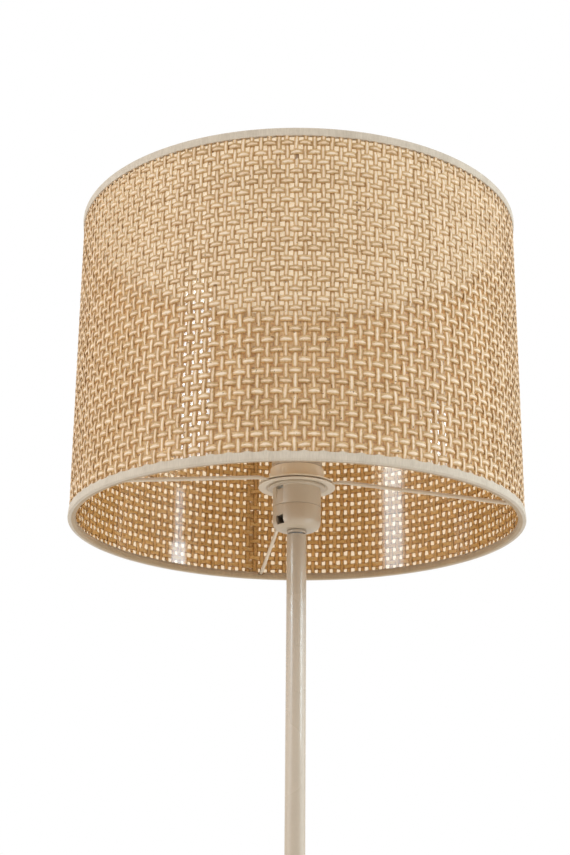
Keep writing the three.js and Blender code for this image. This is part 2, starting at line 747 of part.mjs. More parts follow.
/** The ring that screws down on the spider plate: a wide flange and a wall with broad finger pads. */
function clampRing() {
  const wall = CLAMP_WALL_DIAMETER / 2;
  const ring = turned(
    [
      [skirtBore, 0],
      [CLAMP_FLANGE_DIAMETER / 2, 0],
      [CLAMP_FLANGE_DIAMETER / 2, CLAMP_FLANGE_THICKNESS],
      [wall, CLAMP_FLANGE_THICKNESS],
      [wall, CLAMP_HEIGHT],
      [skirtBore, CLAMP_HEIGHT],
    ],
    HOLDER_FACETS,
  );
  const padInner = (skirtBore + wall) / 2;
  const padOuter = wall + CLAMP_PAD_THICKNESS;
  const pads = spread(CLAMP_PAD_COUNT, CLAMP_PAD_AZIMUTH).map((azimuth) => {
    const pad = sectorShape(padInner, padOuter, azimuth, 180 / CLAMP_PAD_COUNT, CLAMP_PAD_STEPS);
    return raised(pad, CLAMP_FLANGE_THICKNESS / 2, CLAMP_FLANGE_THICKNESS + CLAMP_PAD_HEIGHT);
  });
  return joined(ring, ...pads);
}

function addHolder(root) {
  const holder = subgroup(root, holderBottom);
  addPiece(holder, "holder_dome", holderDome(), creamPlastic);
  addPiece(holder, "holder_shell", holderShell(), creamPlastic);
  addPiece(holder, "contact_block", contactBlock(), ceramic);
  addPiece(holder, "screw_sleeve", screwSleeve(), brass);
  addPiece(holder, "centre_contact", centreContact(), brass);
  [-TERMINAL_OFFSET, TERMINAL_OFFSET].forEach((x, i) => {
    addPiece(holder, `terminal_screw_${i + 1}`, terminalScrew(), brass).position.x = x;
  });
  const nippleBottom = poleTop - holderBottom - NIPPLE_IN_POLE;
  const nipple = ringBand(rodBore, rodRadius, nippleBottom, DOME_FLOOR + NIPPLE_IN_DOME, POLE_FACETS);
  addPiece(holder, "holder_nipple", nipple, zincSteel);
  const locknut = ringBand(rodHole, LOCKNUT_DIAMETER / 2, 0, LOCKNUT_HEIGHT, POLE_FACETS);
  addPiece(holder, "holder_locknut", locknut, creamMetal).position.z = locknutBottom - holderBottom;
  const clampSeat = flangeTop + CLEARANCE + PLATE_THICKNESS + CLEARANCE;
  addPiece(holder, "clamp_ring", clampRing(), creamPlastic).position.z = clampSeat;
}

// Lead

/** The sheathed lead: from the lampholder down through the pole, round a bend and back to the gland. */
function innerLead() {
  const top = holderBottom + DOME_FLOOR + NIPPLE_IN_DOME + CLEARANCE;
  const end = baseRadius + CLEARANCE + GLAND_OUTER_LENGTH - GLAND_MOUTH;
  const bend = arcPoints(LEAD_BEND, leadHeight + LEAD_BEND, LEAD_BEND, 180, 270, LEAD_BEND_STEPS);
  const stops = [[0, top], ...bend, [end, leadHeight]];
  return wireAlong(stops.map(([y, z]) => new THREE.Vector3(0, y, z)), leadRadius, LEAD_FACETS);
}

/** A core from the sheath's end out to its terminal screw, straight at both ends. */
function leadCore(side) {
  const start = DOME_FLOOR + NIPPLE_IN_DOME + 2 * CLEARANCE;
  const end = blockBottom - CLEARANCE - TERMINAL_HEAD_HEIGHT - CLEARANCE;
  const near = (side * (CORE_DIAMETER + CLEARANCE)) / 2;
  const far = side * TERMINAL_OFFSET;
  const middle = (start + end) / 2;
  const bend = new THREE.CubicBezierCurve3(
    new THREE.Vector3(near, 0, start + CLEARANCE),
    new THREE.Vector3(near, 0, middle),
    new THREE.Vector3(far, 0, middle),
    new THREE.Vector3(far, 0, end - CLEARANCE),
  );
  const stops = [
    new THREE.Vector3(near, 0, start),
    ...bend.getPoints(CORE_STEPS),
    new THREE.Vector3(far, 0, end),
  ];
  return wireAlong(stops, CORE_DIAMETER / 2, CORE_FACETS);
}

function addLead(root) {
  addPiece(root, "inner_lead", innerLead(), blackPlastic);
  const cores = subgroup(root, holderBottom);
  addPiece(cores, "core_live", leadCore(-1), liveBrown);
  addPiece(cores, "core_neutral", leadCore(1), neutralBlue);
}

// Shade, built about its own bottom edge

const armAzimuths = spread(ARM_COUNT, ARM_AZIMUTH);
const armEndHeight = ringRise + ringWireRadius + LAYER_GAP + ARM_DIAMETER / 2;
const plateBandTop = SPIDER_RISE + PLATE_THICKNESS - PLATE_DISH;
const tongueBottom = plateBandTop + LAYER_GAP;

/** The woven panel: a thin drum, with its end lapped over its start on the outside. */
function shadeWeave() {
  const drum = ringBand(
    shadeRadius - WEAVE_THICKNESS,
    shadeRadius,
    panelInset,
    SHADE_HEIGHT - panelInset,
    SHADE_FACETS,
  );
  const width = (180 / Math.PI) * (SEAM_WIDTH / shadeRadius);
  const middle = shadeRadius - WEAVE_THICKNESS / 2;
  const strip = sectorShape(middle, shadeRadius + WEAVE_THICKNESS, SEAM_AZIMUTH, width, SEAM_STEPS);
  return joined(drum, raised(strip, TAPE_LEG + LAYER_GAP, SHADE_HEIGHT - TAPE_LEG - LAYER_GAP));
}

/** The outline of a tape folded over the shade's edge, with the channel that holds the edge and its ring. */
function tapeOutline() {
  const outerWall = tapeOuter - TAPE_THICKNESS;
  const innerWall = tapeInner + TAPE_THICKNESS;
  return [
    [tapeOuter, TAPE_LEG],
    [tapeOuter, TAPE_CHAMFER],
    [tapeOuter - TAPE_CHAMFER, 0],
    [tapeInner + TAPE_CHAMFER, 0],
    [tapeInner, TAPE_CHAMFER],
    [tapeInner, TAPE_LEG],
    [innerWall, TAPE_LEG],
    [innerWall, tapeFloor],
    [outerWall, tapeFloor],
    [outerWall, TAPE_LEG],
  ];
}

/** The bottom tape, slit on its inside where each arm passes. */
function bottomTape() {
  const slitWidth = ARM_DIAMETER + 2 * CLEARANCE;
  const slits = armAzimuths.map((azimuth) =>
    radialBox(
      tapeInner - OVERRUN,
      ringRadius,
      slitWidth,
      armEndHeight - slitWidth / 2,
      TAPE_LEG + OVERRUN,
      azimuth,
    ),
  );
  return cut(turned(tapeOutline(), SHADE_FACETS), ...slits);
}

/** The wire ring inside the shade's edge. */
const edgeRing = () => new THREE.TorusGeometry(ringRadius, ringWireRadius, RING_FACETS, SHADE_FACETS);

/** The dished plate: a seat on the lampholder's flange, a slope and a lower outer band. */
function spiderPlate() {
  const seat = flangeRadius + 2 * CLEARANCE;
  const band = seat + PLATE_SLOPE_WIDTH;
  const rim = PLATE_DIAMETER / 2;
  const low = SPIDER_RISE - PLATE_DISH;
  return turned(
    [
      [skirtBore, SPIDER_RISE],
      [seat, SPIDER_RISE],
      [band, low],
      [rim, low],
      [rim, plateBandTop],
      [band, plateBandTop],
      [seat, SPIDER_RISE + PLATE_THICKNESS],
      [skirtBore, SPIDER_RISE + PLATE_THICKNESS],
    ],
    HOLDER_FACETS,
  );
}

/** An arm along +X: a flattened tongue on the plate, then a wire down to the top of the edge ring. */
function spiderArm() {
  const rim = PLATE_DIAMETER / 2;
  const radius = ARM_DIAMETER / 2;
  const tongueMiddle = tongueBottom + ARM_TONGUE_THICKNESS / 2;
  const start = rim + radius;
  const end = linerInner * Math.cos(Math.PI / SHADE_FACETS) - CLEARANCE;
  const corners = [
    [start, tongueMiddle],
    [start + ARM_LEVEL_LENGTH, tongueMiddle],
    [end - ARM_LEVEL_LENGTH, armEndHeight],
    [end, armEndHeight],
  ].map(([x, z]) => new THREE.Vector3(x, 0, z));
  const wire = wireAlong(roundedStops(corners, ARM_BEND_REACH), radius, WIRE_FACETS);
  const tongue = radialBox(
    rim - ARM_TONGUE_OVERLAP,
    start + radius,
    ARM_TONGUE_WIDTH,
    tongueBottom,
    tongueBottom + ARM_TONGUE_THICKNESS,
    0,
  );
  return joined(wire, tongue);
}

function addShade(root) {
  const shade = subgroup(root, shadeBottom);
  addPiece(shade, "shade_weave", shadeWeave(), rattan);
  const liner = ringBand(linerInner, linerOuter, panelInset, SHADE_HEIGHT - panelInset, SHADE_FACETS);
  addPiece(shade, "shade_liner", liner, clearFilm);
  addPiece(shade, "bottom_ring", edgeRing(), zincSteel).position.z = ringRise;
  addPiece(shade, "top_ring", edgeRing(), zincSteel).position.z = SHADE_HEIGHT - ringRise;
  addPiece(shade, "bottom_tape", bottomTape(), trimTape);
  const topOutline = tapeOutline().map(([radius, height]) => [radius, SHADE_HEIGHT - height]);
  addPiece(shade, "top_tape", turned(topOutline, SHADE_FACETS), trimTape);
  addPiece(shade, "spider_plate", spiderPlate(), creamMetal);
  armAzimuths.forEach((azimuth, i) => {
    addPiece(shade, `spider_arm_${i + 1}`, spiderArm(), creamMetal).rotation.z = radians(azimuth);
  });
}

const lamp = new THREE.Group();
addBase(lamp);
addPole(lamp);
addHolder(lamp);
addLead(lamp);
addShade(lamp);

export default lamp;
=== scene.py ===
"""The looks of a woven rattan floor lamp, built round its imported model. Metres, +Z up, front towards -Y."""

import math

import bpy
import numpy as np
from mathutils import Matrix, Vector


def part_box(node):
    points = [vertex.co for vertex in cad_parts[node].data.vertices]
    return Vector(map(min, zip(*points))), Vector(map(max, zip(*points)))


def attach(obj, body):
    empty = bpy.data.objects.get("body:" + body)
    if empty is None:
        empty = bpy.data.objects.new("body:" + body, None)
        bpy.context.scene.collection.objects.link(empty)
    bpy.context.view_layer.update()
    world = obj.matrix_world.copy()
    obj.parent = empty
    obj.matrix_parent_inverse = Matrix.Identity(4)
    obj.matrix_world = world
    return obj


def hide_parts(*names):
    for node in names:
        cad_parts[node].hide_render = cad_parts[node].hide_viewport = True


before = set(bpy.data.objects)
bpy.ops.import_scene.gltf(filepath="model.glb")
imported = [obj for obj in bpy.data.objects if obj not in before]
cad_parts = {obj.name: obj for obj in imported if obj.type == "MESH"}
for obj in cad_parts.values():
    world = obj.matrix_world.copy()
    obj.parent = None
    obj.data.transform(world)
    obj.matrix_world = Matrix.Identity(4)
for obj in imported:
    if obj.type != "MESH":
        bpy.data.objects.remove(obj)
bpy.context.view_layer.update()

MM = 0.001


def outer_radius(node):
    """How far a turned node reaches from the lamp's axis."""
    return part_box(node)[1].x


def low(node):
    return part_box(node)[0].z


def high(node):
    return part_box(node)[1].z


def heights(node):
    return low(node), high(node)


def angles(*degrees):
    return [math.radians(degree) for degree in degrees]


def srgb(red, green, blue):
    """A colour as a screen shows it, from 0 to 255, as the linear colour that a shader takes."""
    shares = [value / 255 for value in (red, green, blue)]
    linear = [s / 12.92 if s <= 0.04045 else ((s + 0.055) / 1.055) ** 2.4 for s in shares]
    return (*linear, 1.0)


# Camera, fitted to the rims of the shade and the edges of the pole. It turns by a pitch, a yaw and a roll
CAMERA_PLACE = Vector((0.01105, -1.17634, 0.93111))
CAMERA_TURNS = (18.823, -1.008, 0.477)
CAMERA_LENS = 66.345
CAMERA_SENSOR = 36

# Soft boxes, seen from the shade's middle: azimuth, elevation, width and height in degrees, radiance, colour
LAMP_DISTANCE = 8.0
SOFT_LIGHT = 0.77
SOFT_BOXES = {
    "soft_left": (-72, 20, 50, 44, 2.0, (0.93, 0.97, 1.0)),
    "soft_right": (84, 20, 56, 45, 2.7, (0.78, 0.92, 1.0)),
}

# Upright strips that only mirrors show: azimuth in degrees, then in millimetres the distance from the lamp's
# axis, the shift to a side, both ends above the shade's bottom edge and the width, and last the radiance
STRIPS = {
    "band_right": (-54, 110, -75, 62, 196, 36, 3.9),
    "band_left": (68, 110, 91, 58, 92, 28, 5.2),
    "band_left_top": (68, 110, 92, 92, 150, 16, 2.6),
    "front_left": (-52, 60000, 0, 19300, 26400, 18000, 25),
    "front_right": (76, 60000, 0, 19100, 21200, 13600, 40),
    "pole_left": (-54, 100, 0, -2, 20, 20, 20),
    "pole_left_low": (-54, 100, 0, -38, -20, 20, 20),
    "pole_right": (62, 100, -4, -150, 2, 14, 14),
}
STRIP_COLOUR = (0.67, 0.87, 1.0)
FLOOR_SIZE = 14.0

# Plain finishes: colour, roughness, fineness of the grain, its depth in millimetres, metallic share, clouds
FINISHES = {
    "cream_metal": ((185, 169, 149), 0.27, 420, 0.012),
    "cream_plastic": ((187, 169, 145), 0.42, 900, 0.015),
    # The spider's paint and the clamp ring's plastic are lighter copies of cream_metal and cream_plastic:
    # painted light for the light that reaches them inside the drum
    "spider_paint_lit": ((206, 188, 163), 0.36, 420, 0.012),
    "ring_plastic_lit": ((226, 210, 184), 0.42, 900, 0.015),
    "cast_iron": ((62, 62, 64), 0.7, 300, 0.2, 0.6, 0.2),
    "black_plastic": ((40, 40, 42), 0.5, 800, 0.04),
    "brass": ((190, 148, 78), 0.28, 500, 0.01, 1.0, 0.08),
    "ceramic": ((226, 221, 208), 0.22, 200, 0.02),
    "rubber": ((38, 38, 38), 0.85, 900, 0.05),
    "zinc_steel": ((180, 181, 184), 0.32, 400, 0.01, 0.9, 0.08),
    "live_brown": ((107, 64, 38), 0.5, 600, 0.02),
    "neutral_blue": ((46, 94, 158), 0.5, 600, 0.02),
    "floor": ((240, 235, 230), 0.7, 8, 0.02, 0.0, 0.01),
}
# Every material once it is made, by the name of its finish
MATERIALS = {}

# Rattan from its darkest fibres to its palest: a strand's ridge, its flanks, and its side inside the shade,
# which is painted paler to stand in for light that the inside of the drum lacks
RIDGE = [(0.08, srgb(229, 195, 154)), (0.40, srgb(246, 217, 183)), (0.80, srgb(252, 232, 206))]
FLANKS = [(0.10, srgb(183, 147, 100)), (0.45, srgb(208, 173, 124)), (0.85, srgb(227, 195, 150))]
INSIDE_PAINTED_LIGHT = [(0.10, srgb(204, 188, 150)), (0.45, srgb(242, 232, 196)), (0.85, srgb(255, 252, 226))]
RATTAN_GLOW = 0.22

# The angle that smooth shading keeps crisp, and the roundings of edges
SHARP_ANGLE = math.radians(38)
CRISP = 0.2 * MM
FINE = 0.3 * MM
SOFT = 0.5 * MM
LARGE_ROUNDING = 3 * MM
MOST_OF_HALF = 0.49
# How far a cut runs past a wall, and a length too small to matter
OVERRUN = 2 * MM
TINY = 0.01 * MM

# Shade: a plain weave of upright and level strands, counted round the drum and up it
COLUMNS = 170
ROWS = 33
SHADE_BOTTOM = low("bottom_tape")
SHADE_TOP = high("top_tape")
SHADE_HEIGHT = SHADE_TOP - SHADE_BOTTOM
COLUMN_ANGLE = 2 * math.pi / COLUMNS
ROW_PITCH = SHADE_HEIGHT / ROWS
LINER_RADIUS = outer_radius("shade_liner")
LINER_GAP = 0.05 * MM
STRAND_THICKNESS = 0.85 * MM
STRAND_LIFT = STRAND_THICKNESS / 2
UPRIGHT_WIDTH = 3.55 * MM
ROW_WIDTH = 4.6 * MM
UPRIGHT_LEAF = 0.03
ROW_LEAF = 0.17
WEAVE_RADIUS = LINER_RADIUS + STRAND_THICKNESS + LINER_GAP
STATIONS_PER_PITCH = 4
SECTION_SIDES = 8
SECTION_ROUNDNESS = 0.95
WAVE_FLATNESS = 1.15
STRAND_END = 0.3 * MM
SEAM_AZIMUTH = math.radians(103.5)
SEAM_WIDTH = 12 * MM
SEAM_RADIUS = WEAVE_RADIUS + 2 * STRAND_THICKNESS + 0.1 * MM
SEAM_MARGIN = 6.2 * MM
SEAM_STATIONS = 17
# How strands vary: their sway, their twist in radians, their width, the swell of a row where it passes over,
# and how far apart two strands may start in the grain
UPRIGHT_SWAY = 0.40 * MM
UPRIGHT_TWIST = 0.12
UPRIGHT_UNEVEN = 0.09
ROW_SWAY = 0.43 * MM
ROW_TWIST = 0.18
ROW_UNEVEN = 0.10
ROW_SWELL = 0.07
PATTERN_SHIFT = 9.0

# Film
LINER_THICKNESS = 0.4 * MM
LINER_FACETS = 2 * COLUMNS
FILM_TINT = (0.962, 0.862, 0.722, 1.0)
FILM_HAZE = (0.98, 0.80, 0.50, 1.0)
FILM_HAZE_SHARES = (0.06, 0.46)
FILM_FROST = 0.45
INNER_GLOSS = 0.12
OUTER_GLOSS = 0.045
GLOSS_TOP = 115 * MM
GLOSS_FADE = 12 * MM

# Tapes
TAPE_FACETS = COLUMNS * 6
TAPE_OUTER = outer_radius("bottom_tape")
TAPE_LEG = high("bottom_tape") - SHADE_BOTTOM
TAPE_THICKNESS = 0.5 * MM
TAPE_LEAN = 0.6 * MM
TAPE_GRIP = LINER_RADIUS + LINER_GAP
TAPE_INNER = 169.5 * MM
TAPE_FOLD = 1.0 * MM
TAPE_KNEE = 3.4 * MM
TAPE_SCALLOP = 0.8 * MM
TAPE_RIPPLE = 0.12 * MM
SCALLOP_FULLNESS = 0.7
RIB_PITCH = 0.95 * MM
ARM_NOTCH = 2.7 * MM
ARM_NOTCH_WIDTH = 2.4 * MM

# Spider
ARM_AZIMUTHS = angles(101, 221, 341)
ARM_RADIUS = 1.5 * MM
ARM_SIDES = 24
TONGUE_HALF = (2.3 * MM, 0.4 * MM)
TONGUE_LENGTH = 4.5 * MM
TONGUE_LIFT = 0.2 * MM
TONGUE_CHANGE = 5.5 * MM
ARM_LEVEL = 6 * MM
ARM_BEND = 4 * MM
ARM_END_HEIGHT = 5.1 * MM
ARM_END_GAP = 0.95 * MM
PLATE_BORE = 20.0 * MM
PLATE_THICKNESS = 0.8 * MM
PLATE_DISH = 1.0 * MM
PLATE_SLOPE = (22.6 * MM, 24.2 * MM)
PLATE_RIM = 0.35 * MM

# Lampholder
HOLDER_FACETS = 192
HOLDER_BOTTOM = low("holder_dome")
HOLDER_RADIUS = outer_radius("holder_dome")
HOLDER_WALL = 1.8 * MM
HOLDER_BORE = HOLDER_RADIUS - HOLDER_WALL
ROD_HOLE = 5.1 * MM
DOME_CORNER = 9.0 * MM
DOME_FLOOR = 3.5 * MM
SKIRT_TOP = high("holder_shell")
FLANGE_BOTTOM = SKIRT_TOP - 26.8 * MM
FLANGE_TOP = SKIRT_TOP - 25.0 * MM
FLANGE_CORNER = 0.7 * MM
SKIRT_RADIUS = 19.7 * MM
SKIRT_PITCH = 2.5 * MM
SKIRT_THREAD = 0.5 * MM
SKIRT_STEPS = 80
SKIRT_MARGIN = 1.0 * MM
SKIRT_BEVEL = 0.4 * MM
SKIRT_PLAIN = (1.5 * MM, 0.8 * MM)
LATCH_AZIMUTHS = angles(224, 44)
WINDOW_WIDTH = 8.0 * MM
WINDOW_HEIGHT = 6.8 * MM
WINDOW_TOP = 9.2 * MM
SLOT_WIDTH = 7.6 * MM
SLOT_DEPTH = 1.5 * MM
SLOT_TOP = FLANGE_BOTTOM - 0.4 * MM
SLOT_HOLE = 2.2 * MM
SLOT_HOLE_WIDTH = 6.6 * MM
PARTING_EDGE = 0.06 * MM
RING_BORE = 20.0 * MM
RING_WALL = 20.8 * MM
RING_FLANGE = 1.2 * MM
RING_EDGE = 0.4 * MM
PAD_AZIMUTHS = angles(268.7, 28.7, 148.7)
PAD_THICKNESS = 0.9 * MM
PAD_HEIGHT = 9.0 * MM
PAD_HALF_WIDTH = math.radians(33)
PAD_RAMPS = angles(13, 1.5)
PAD_EDGES = (0.35 * MM, 0.25 * MM)
PAD_REACH = 0.15 * MM
NUT_GAP = 0.7 * MM
NUT_EDGE = 0.45 * MM

# Inside the lampholder
BLOCK_HOLE = 1.2 * MM
BLOCK_WALL = 2 * MM
BLOCK_EDGE = 0.6 * MM
BLOCK_FLOOR = low("screw_sleeve") - 0.3 * MM
POCKET_DEPTH = 1.7 * MM
SLEEVE_STEPS = 72
SLEEVE_PITCH = 3.6 * MM
SLEEVE_WALL = 0.45 * MM
SLEEVE_THREAD = 1.1 * MM

# Pole and base
POLE_FACETS = 96
POLE_RADIUS = outer_radius("pole_tube_1")
TUBE_BORE = POLE_RADIUS - 1.0 * MM
COUPLER_BORE = 3.5 * MM
COUPLER_PLUG = TUBE_BORE - 0.3 * MM
COUPLER_COLLAR = 1.5 * MM
COLLAR_BORE = POLE_RADIUS + 0.3 * MM
COLLAR_WALL = 2 * MM
COLLAR_EDGE = 0.8 * MM
COLLAR_SWEEP = 5.5 * MM
BASE_FACETS = 192
COVER_RADIUS = outer_radius("base_cover")
COVER_THICKNESS = 1.2 * MM
COVER_CORNER = 8.0 * MM
GLAND_LOW, GLAND_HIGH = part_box("cable_gland")
GLAND_BORE = 2.9 * MM
GLAND_NECK = 4.3 * MM
GLAND_GROOVE = (-1.8 * MM, 0.3 * MM)
GLAND_HOLE = 4.6 * MM
GLAND_HOLE_HALF = 9 * MM
GLAND_HOLE_FACETS = 48
GLAND_EDGES = (0.4 * MM, 0.6 * MM)
SMALL_FACETS = 64
FOOT_HOLE = 2 * MM
FOOT_TAPER = 1 * MM
FOOT_DIMPLE = 0.6 * MM

# What stays as it was packed, with its finish
SCREWS = [f"underplate_screw_{number}" for number in (1, 2, 3)] + ["saddle_screw_1", "saddle_screw_2"]
RODS = ["base_washer", "base_nut", "base_stud", "pole_bottom_bush", "pole_top_bush", "holder_nipple"]
KEPT_FINISHES = {
    "cast_iron": ["base_weight"],
    "black_plastic": ["base_underplate", "cord_saddle", "inner_lead"],
    "zinc_steel": [*SCREWS, *RODS, "bottom_ring", "top_ring"],
    "brass": ["centre_contact", "terminal_screw_1", "terminal_screw_2"],
    "live_brown": ["core_live"],
    "neutral_blue": ["core_neutral"],
}


# Meshes


def new_mesh(name, vertices, faces):
    """A mesh object from points and faces, smooth except at sharp edges."""
    mesh = bpy.data.meshes.new(name)
    mesh.from_pydata(np.asarray(vertices).tolist(), [], faces)
    mesh.update()
    made = bpy.data.objects.new(name, mesh)
    bpy.context.scene.collection.objects.link(made)
    return smooth(made)


def smooth(made):
    """Smooth shading, with sharp edges kept crisp."""
    mesh = made.data
    mesh.polygons.foreach_set("use_smooth", [True] * len(mesh.polygons))
    mesh.set_sharp_from_angle(angle=SHARP_ANGLE)
    return made


def grid_faces(count, sides, closed):
    """Four-sided faces between rings of points, where each ring has the same number of points."""
    ring = np.arange(count if closed else count - 1)[:, None]
    side = np.arange(sides)[None, :]
    here = ring * sides
    there = (ring + 1) % count * sides
    after = (side + 1) % sides
    corners = np.broadcast_arrays(here + side, there + side, there + after, here + after)
    return np.stack(corners, axis=-1).reshape(-1, 4)


def end_faces(count, sides, first=0):
    """The faces that close a run of rings at its two ends."""
    last = first + (count - 1) * sides
    return [list(range(first, first + sides)), list(reversed(range(last, last + sides)))]


def rounded(corners):
    """A closed outline with rounded corners. Each corner is (radius, height, rounding)."""
    outline = []
    for i, (x, y, rounding) in enumerate(corners):
        corner = Vector((x, y))
        before = Vector(corners[i - 1][:2]) - corner
        after = Vector(corners[(i + 1) % len(corners)][:2]) - corner
        if not rounding:
            outline.append(tuple(corner))
            continue
        half = before.angle(after) / 2
        reach = min(rounding / math.tan(half), MOST_OF_HALF * before.length, MOST_OF_HALF * after.length)
        size = reach * math.tan(half)
        middle = corner + (before.normalized() + after.normalized()).normalized() * size / math.sin(half)
        start = corner + before.normalized() * reach - middle
        end = corner + after.normalized() * reach - middle
        steps = 12 if size > LARGE_ROUNDING else 4
        turn = start.angle_signed(end)
        for step in range(steps + 1):
            angle = -turn * step / steps
            x_turned = start.x * math.cos(angle) - start.y * math.sin(angle)
            y_turned = start.x * math.sin(angle) + start.y * math.cos(angle)
            outline.append((middle.x + x_turned, middle.y + y_turned))
    return outline


def tube(inner, outer, bottom, top, rounding=0.0):
    """The outline of a plain tube or block, with one rounding for its four edges."""
    corners = [(inner, bottom), (outer, bottom), (outer, top), (inner, top)]
    return rounded([(*corner, rounding) for corner in corners])


def turned(name, outline, facets, shape=None):
    """A ring turned about Z from a closed outline of (radius, height). shape may move its points."""
    next_points = outline[1:] + outline[:1]
    twice_area = sum(a[0] * b[1] - b[0] * a[1] for a, b in zip(outline, next_points))
    ordered = outline if twice_area > 0 else outline[::-1]
    angle = np.arange(facets)[:, None] * 2 * math.pi / facets
    radius, height = (np.array(part) + 0 * angle for part in zip(*ordered))
    if shape:
        radius, height = shape(angle + 0 * radius, radius, height)
    points = np.stack([radius * np.cos(angle), radius * np.sin(angle), height], axis=-1).reshape(-1, 3)
    return new_mesh(name, points, grid_faces(facets, len(ordered), True).tolist())


def section(sides, roundness):
    """Points round a strand's section, from -1 to 1 across and through: 1 is an ellipse, less is boxier."""
    angle = np.arange(sides) * 2 * math.pi / sides
    across, through = np.cos(angle), np.sin(angle)
    return np.sign(across) * np.abs(across) ** roundness, np.sign(through) * np.abs(through) ** roundness


def strands(name, centre, side, outward, half_width, closed):
    """Strands side by side in one mesh, each a run of sections, from arrays of (strand, station)."""
    across, through = section(SECTION_SIDES, SECTION_ROUNDNESS)
    points = (
        centre[:, :, None, :]
        + side[:, :, None, :] * (half_width[:, :, None] * across)[..., None]
        + outward[:, :, None, :] * (STRAND_THICKNESS / 2 * through)[:, None]
    )
    count, stations = half_width.shape
    quads = grid_faces(stations, SECTION_SIDES, closed)
    faces = []
    for strand in range(count):
        first = strand * stations * SECTION_SIDES
        faces += (quads + first).tolist()
        if not closed:
            faces += end_faces(stations, SECTION_SIDES, first)
    return new_mesh(name, points.reshape(-1, 3), faces)


def mark_strands(made, along, tone, lift, leaf):
    """Writes what the rattan reads: the place in a strand, its tone, its lift and how leaf-shaped it is."""
    across, through = section(SECTION_SIDES, SECTION_ROUNDNESS)
    shape = (*along.shape, SECTION_SIDES)

    def joined(*values):
        return np.stack([np.broadcast_to(value, shape) for value in values], axis=-1).ravel()

    place = joined(across, through, along[:, :, None])
    marks = joined(tone[:, :, None], lift[:, :, None] / 2 + 0.5, leaf, 1.0)
    attributes = made.data.attributes
    attributes.new("strand_place", "FLOAT_VECTOR", "POINT").data.foreach_set("vector", place)
    attributes.new("strand_tone", "FLOAT_COLOR", "POINT").data.foreach_set("color", marks)


def sweep(name, places, across, up, half_sizes):
    """A bar along places. Each place has its own up direction, half width and half height."""
    share_across, share_up = section(ARM_SIDES, 1.0)
    points = []
    for place, lift, (half_width, half_height) in zip(places, up, half_sizes):
        for a, b in zip(share_across, share_up):
            points.append(tuple(place + across * (half_width * a) + lift * (half_height * b)))
    count = len(places)
    faces = grid_faces(count, ARM_SIDES, False).tolist() + end_faces(count, ARM_SIDES)
    return new_mesh(name, points, faces)


def latch_cutters(corners, width):
    """A cutter at each latch, as wide as the cut, from four corners of (radius, height)."""
    points = [(x, y, z) for y in (-width / 2, width / 2) for x, z in corners]
    sides = [(i, i + 4, (i + 1) % 4 + 4, (i + 1) % 4) for i in range(4)]
    cutters = []
    for azimuth in LATCH_AZIMUTHS:
        cutter = new_mesh("cutter", points, [(0, 1, 2, 3), (7, 6, 5, 4), *sides])
        cutter.data.transform(Matrix.Rotation(azimuth, 4, "Z"))
        cutters.append(cutter)
    return cutters


def carve(made, cutters):
    """Cuts the cutters out of a piece, and removes them."""
    for cutter in cutters:
        modifier = made.modifiers.new("cut", "BOOLEAN")
        modifier.operation = "DIFFERENCE"
        modifier.solver = "EXACT"
        modifier.object = cutter
    bpy.context.view_layer.update()
    evaluated = made.evaluated_get(bpy.context.evaluated_depsgraph_get())
    mesh = bpy.data.meshes.new_from_object(evaluated)
    made.modifiers.clear()
    made.data = mesh
    for cutter in cutters:
        bpy.data.objects.remove(cutter)
    return smooth(made)


def dress(made, finish):
    made.data.materials.clear()
    made.data.materials.append(MATERIALS[finish])


def piece(made, body, finish, node):
    """Gives a piece its finish, makes it move with a body and stand for a CAD node."""
    dress(made, finish)
    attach(made, body)
    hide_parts(node)


# Materials


class Value:
    """A number that a shader works out, which plain sums can use."""

    def __init__(self, shader, socket):
        self.shader = shader
        self.socket = socket

    def __add__(self, other):
        return self.shader.math("ADD", self, other)

    def __sub__(self, other):
        return self.shader.math("SUBTRACT", self, other)

    def __rsub__(self, other):
        return self.shader.math("SUBTRACT", other, self)

    def __mul__(self, other):
        return self.shader.math("MULTIPLY", self, other)

    def __abs__(self):
        return self.shader.math("ABSOLUTE", self)


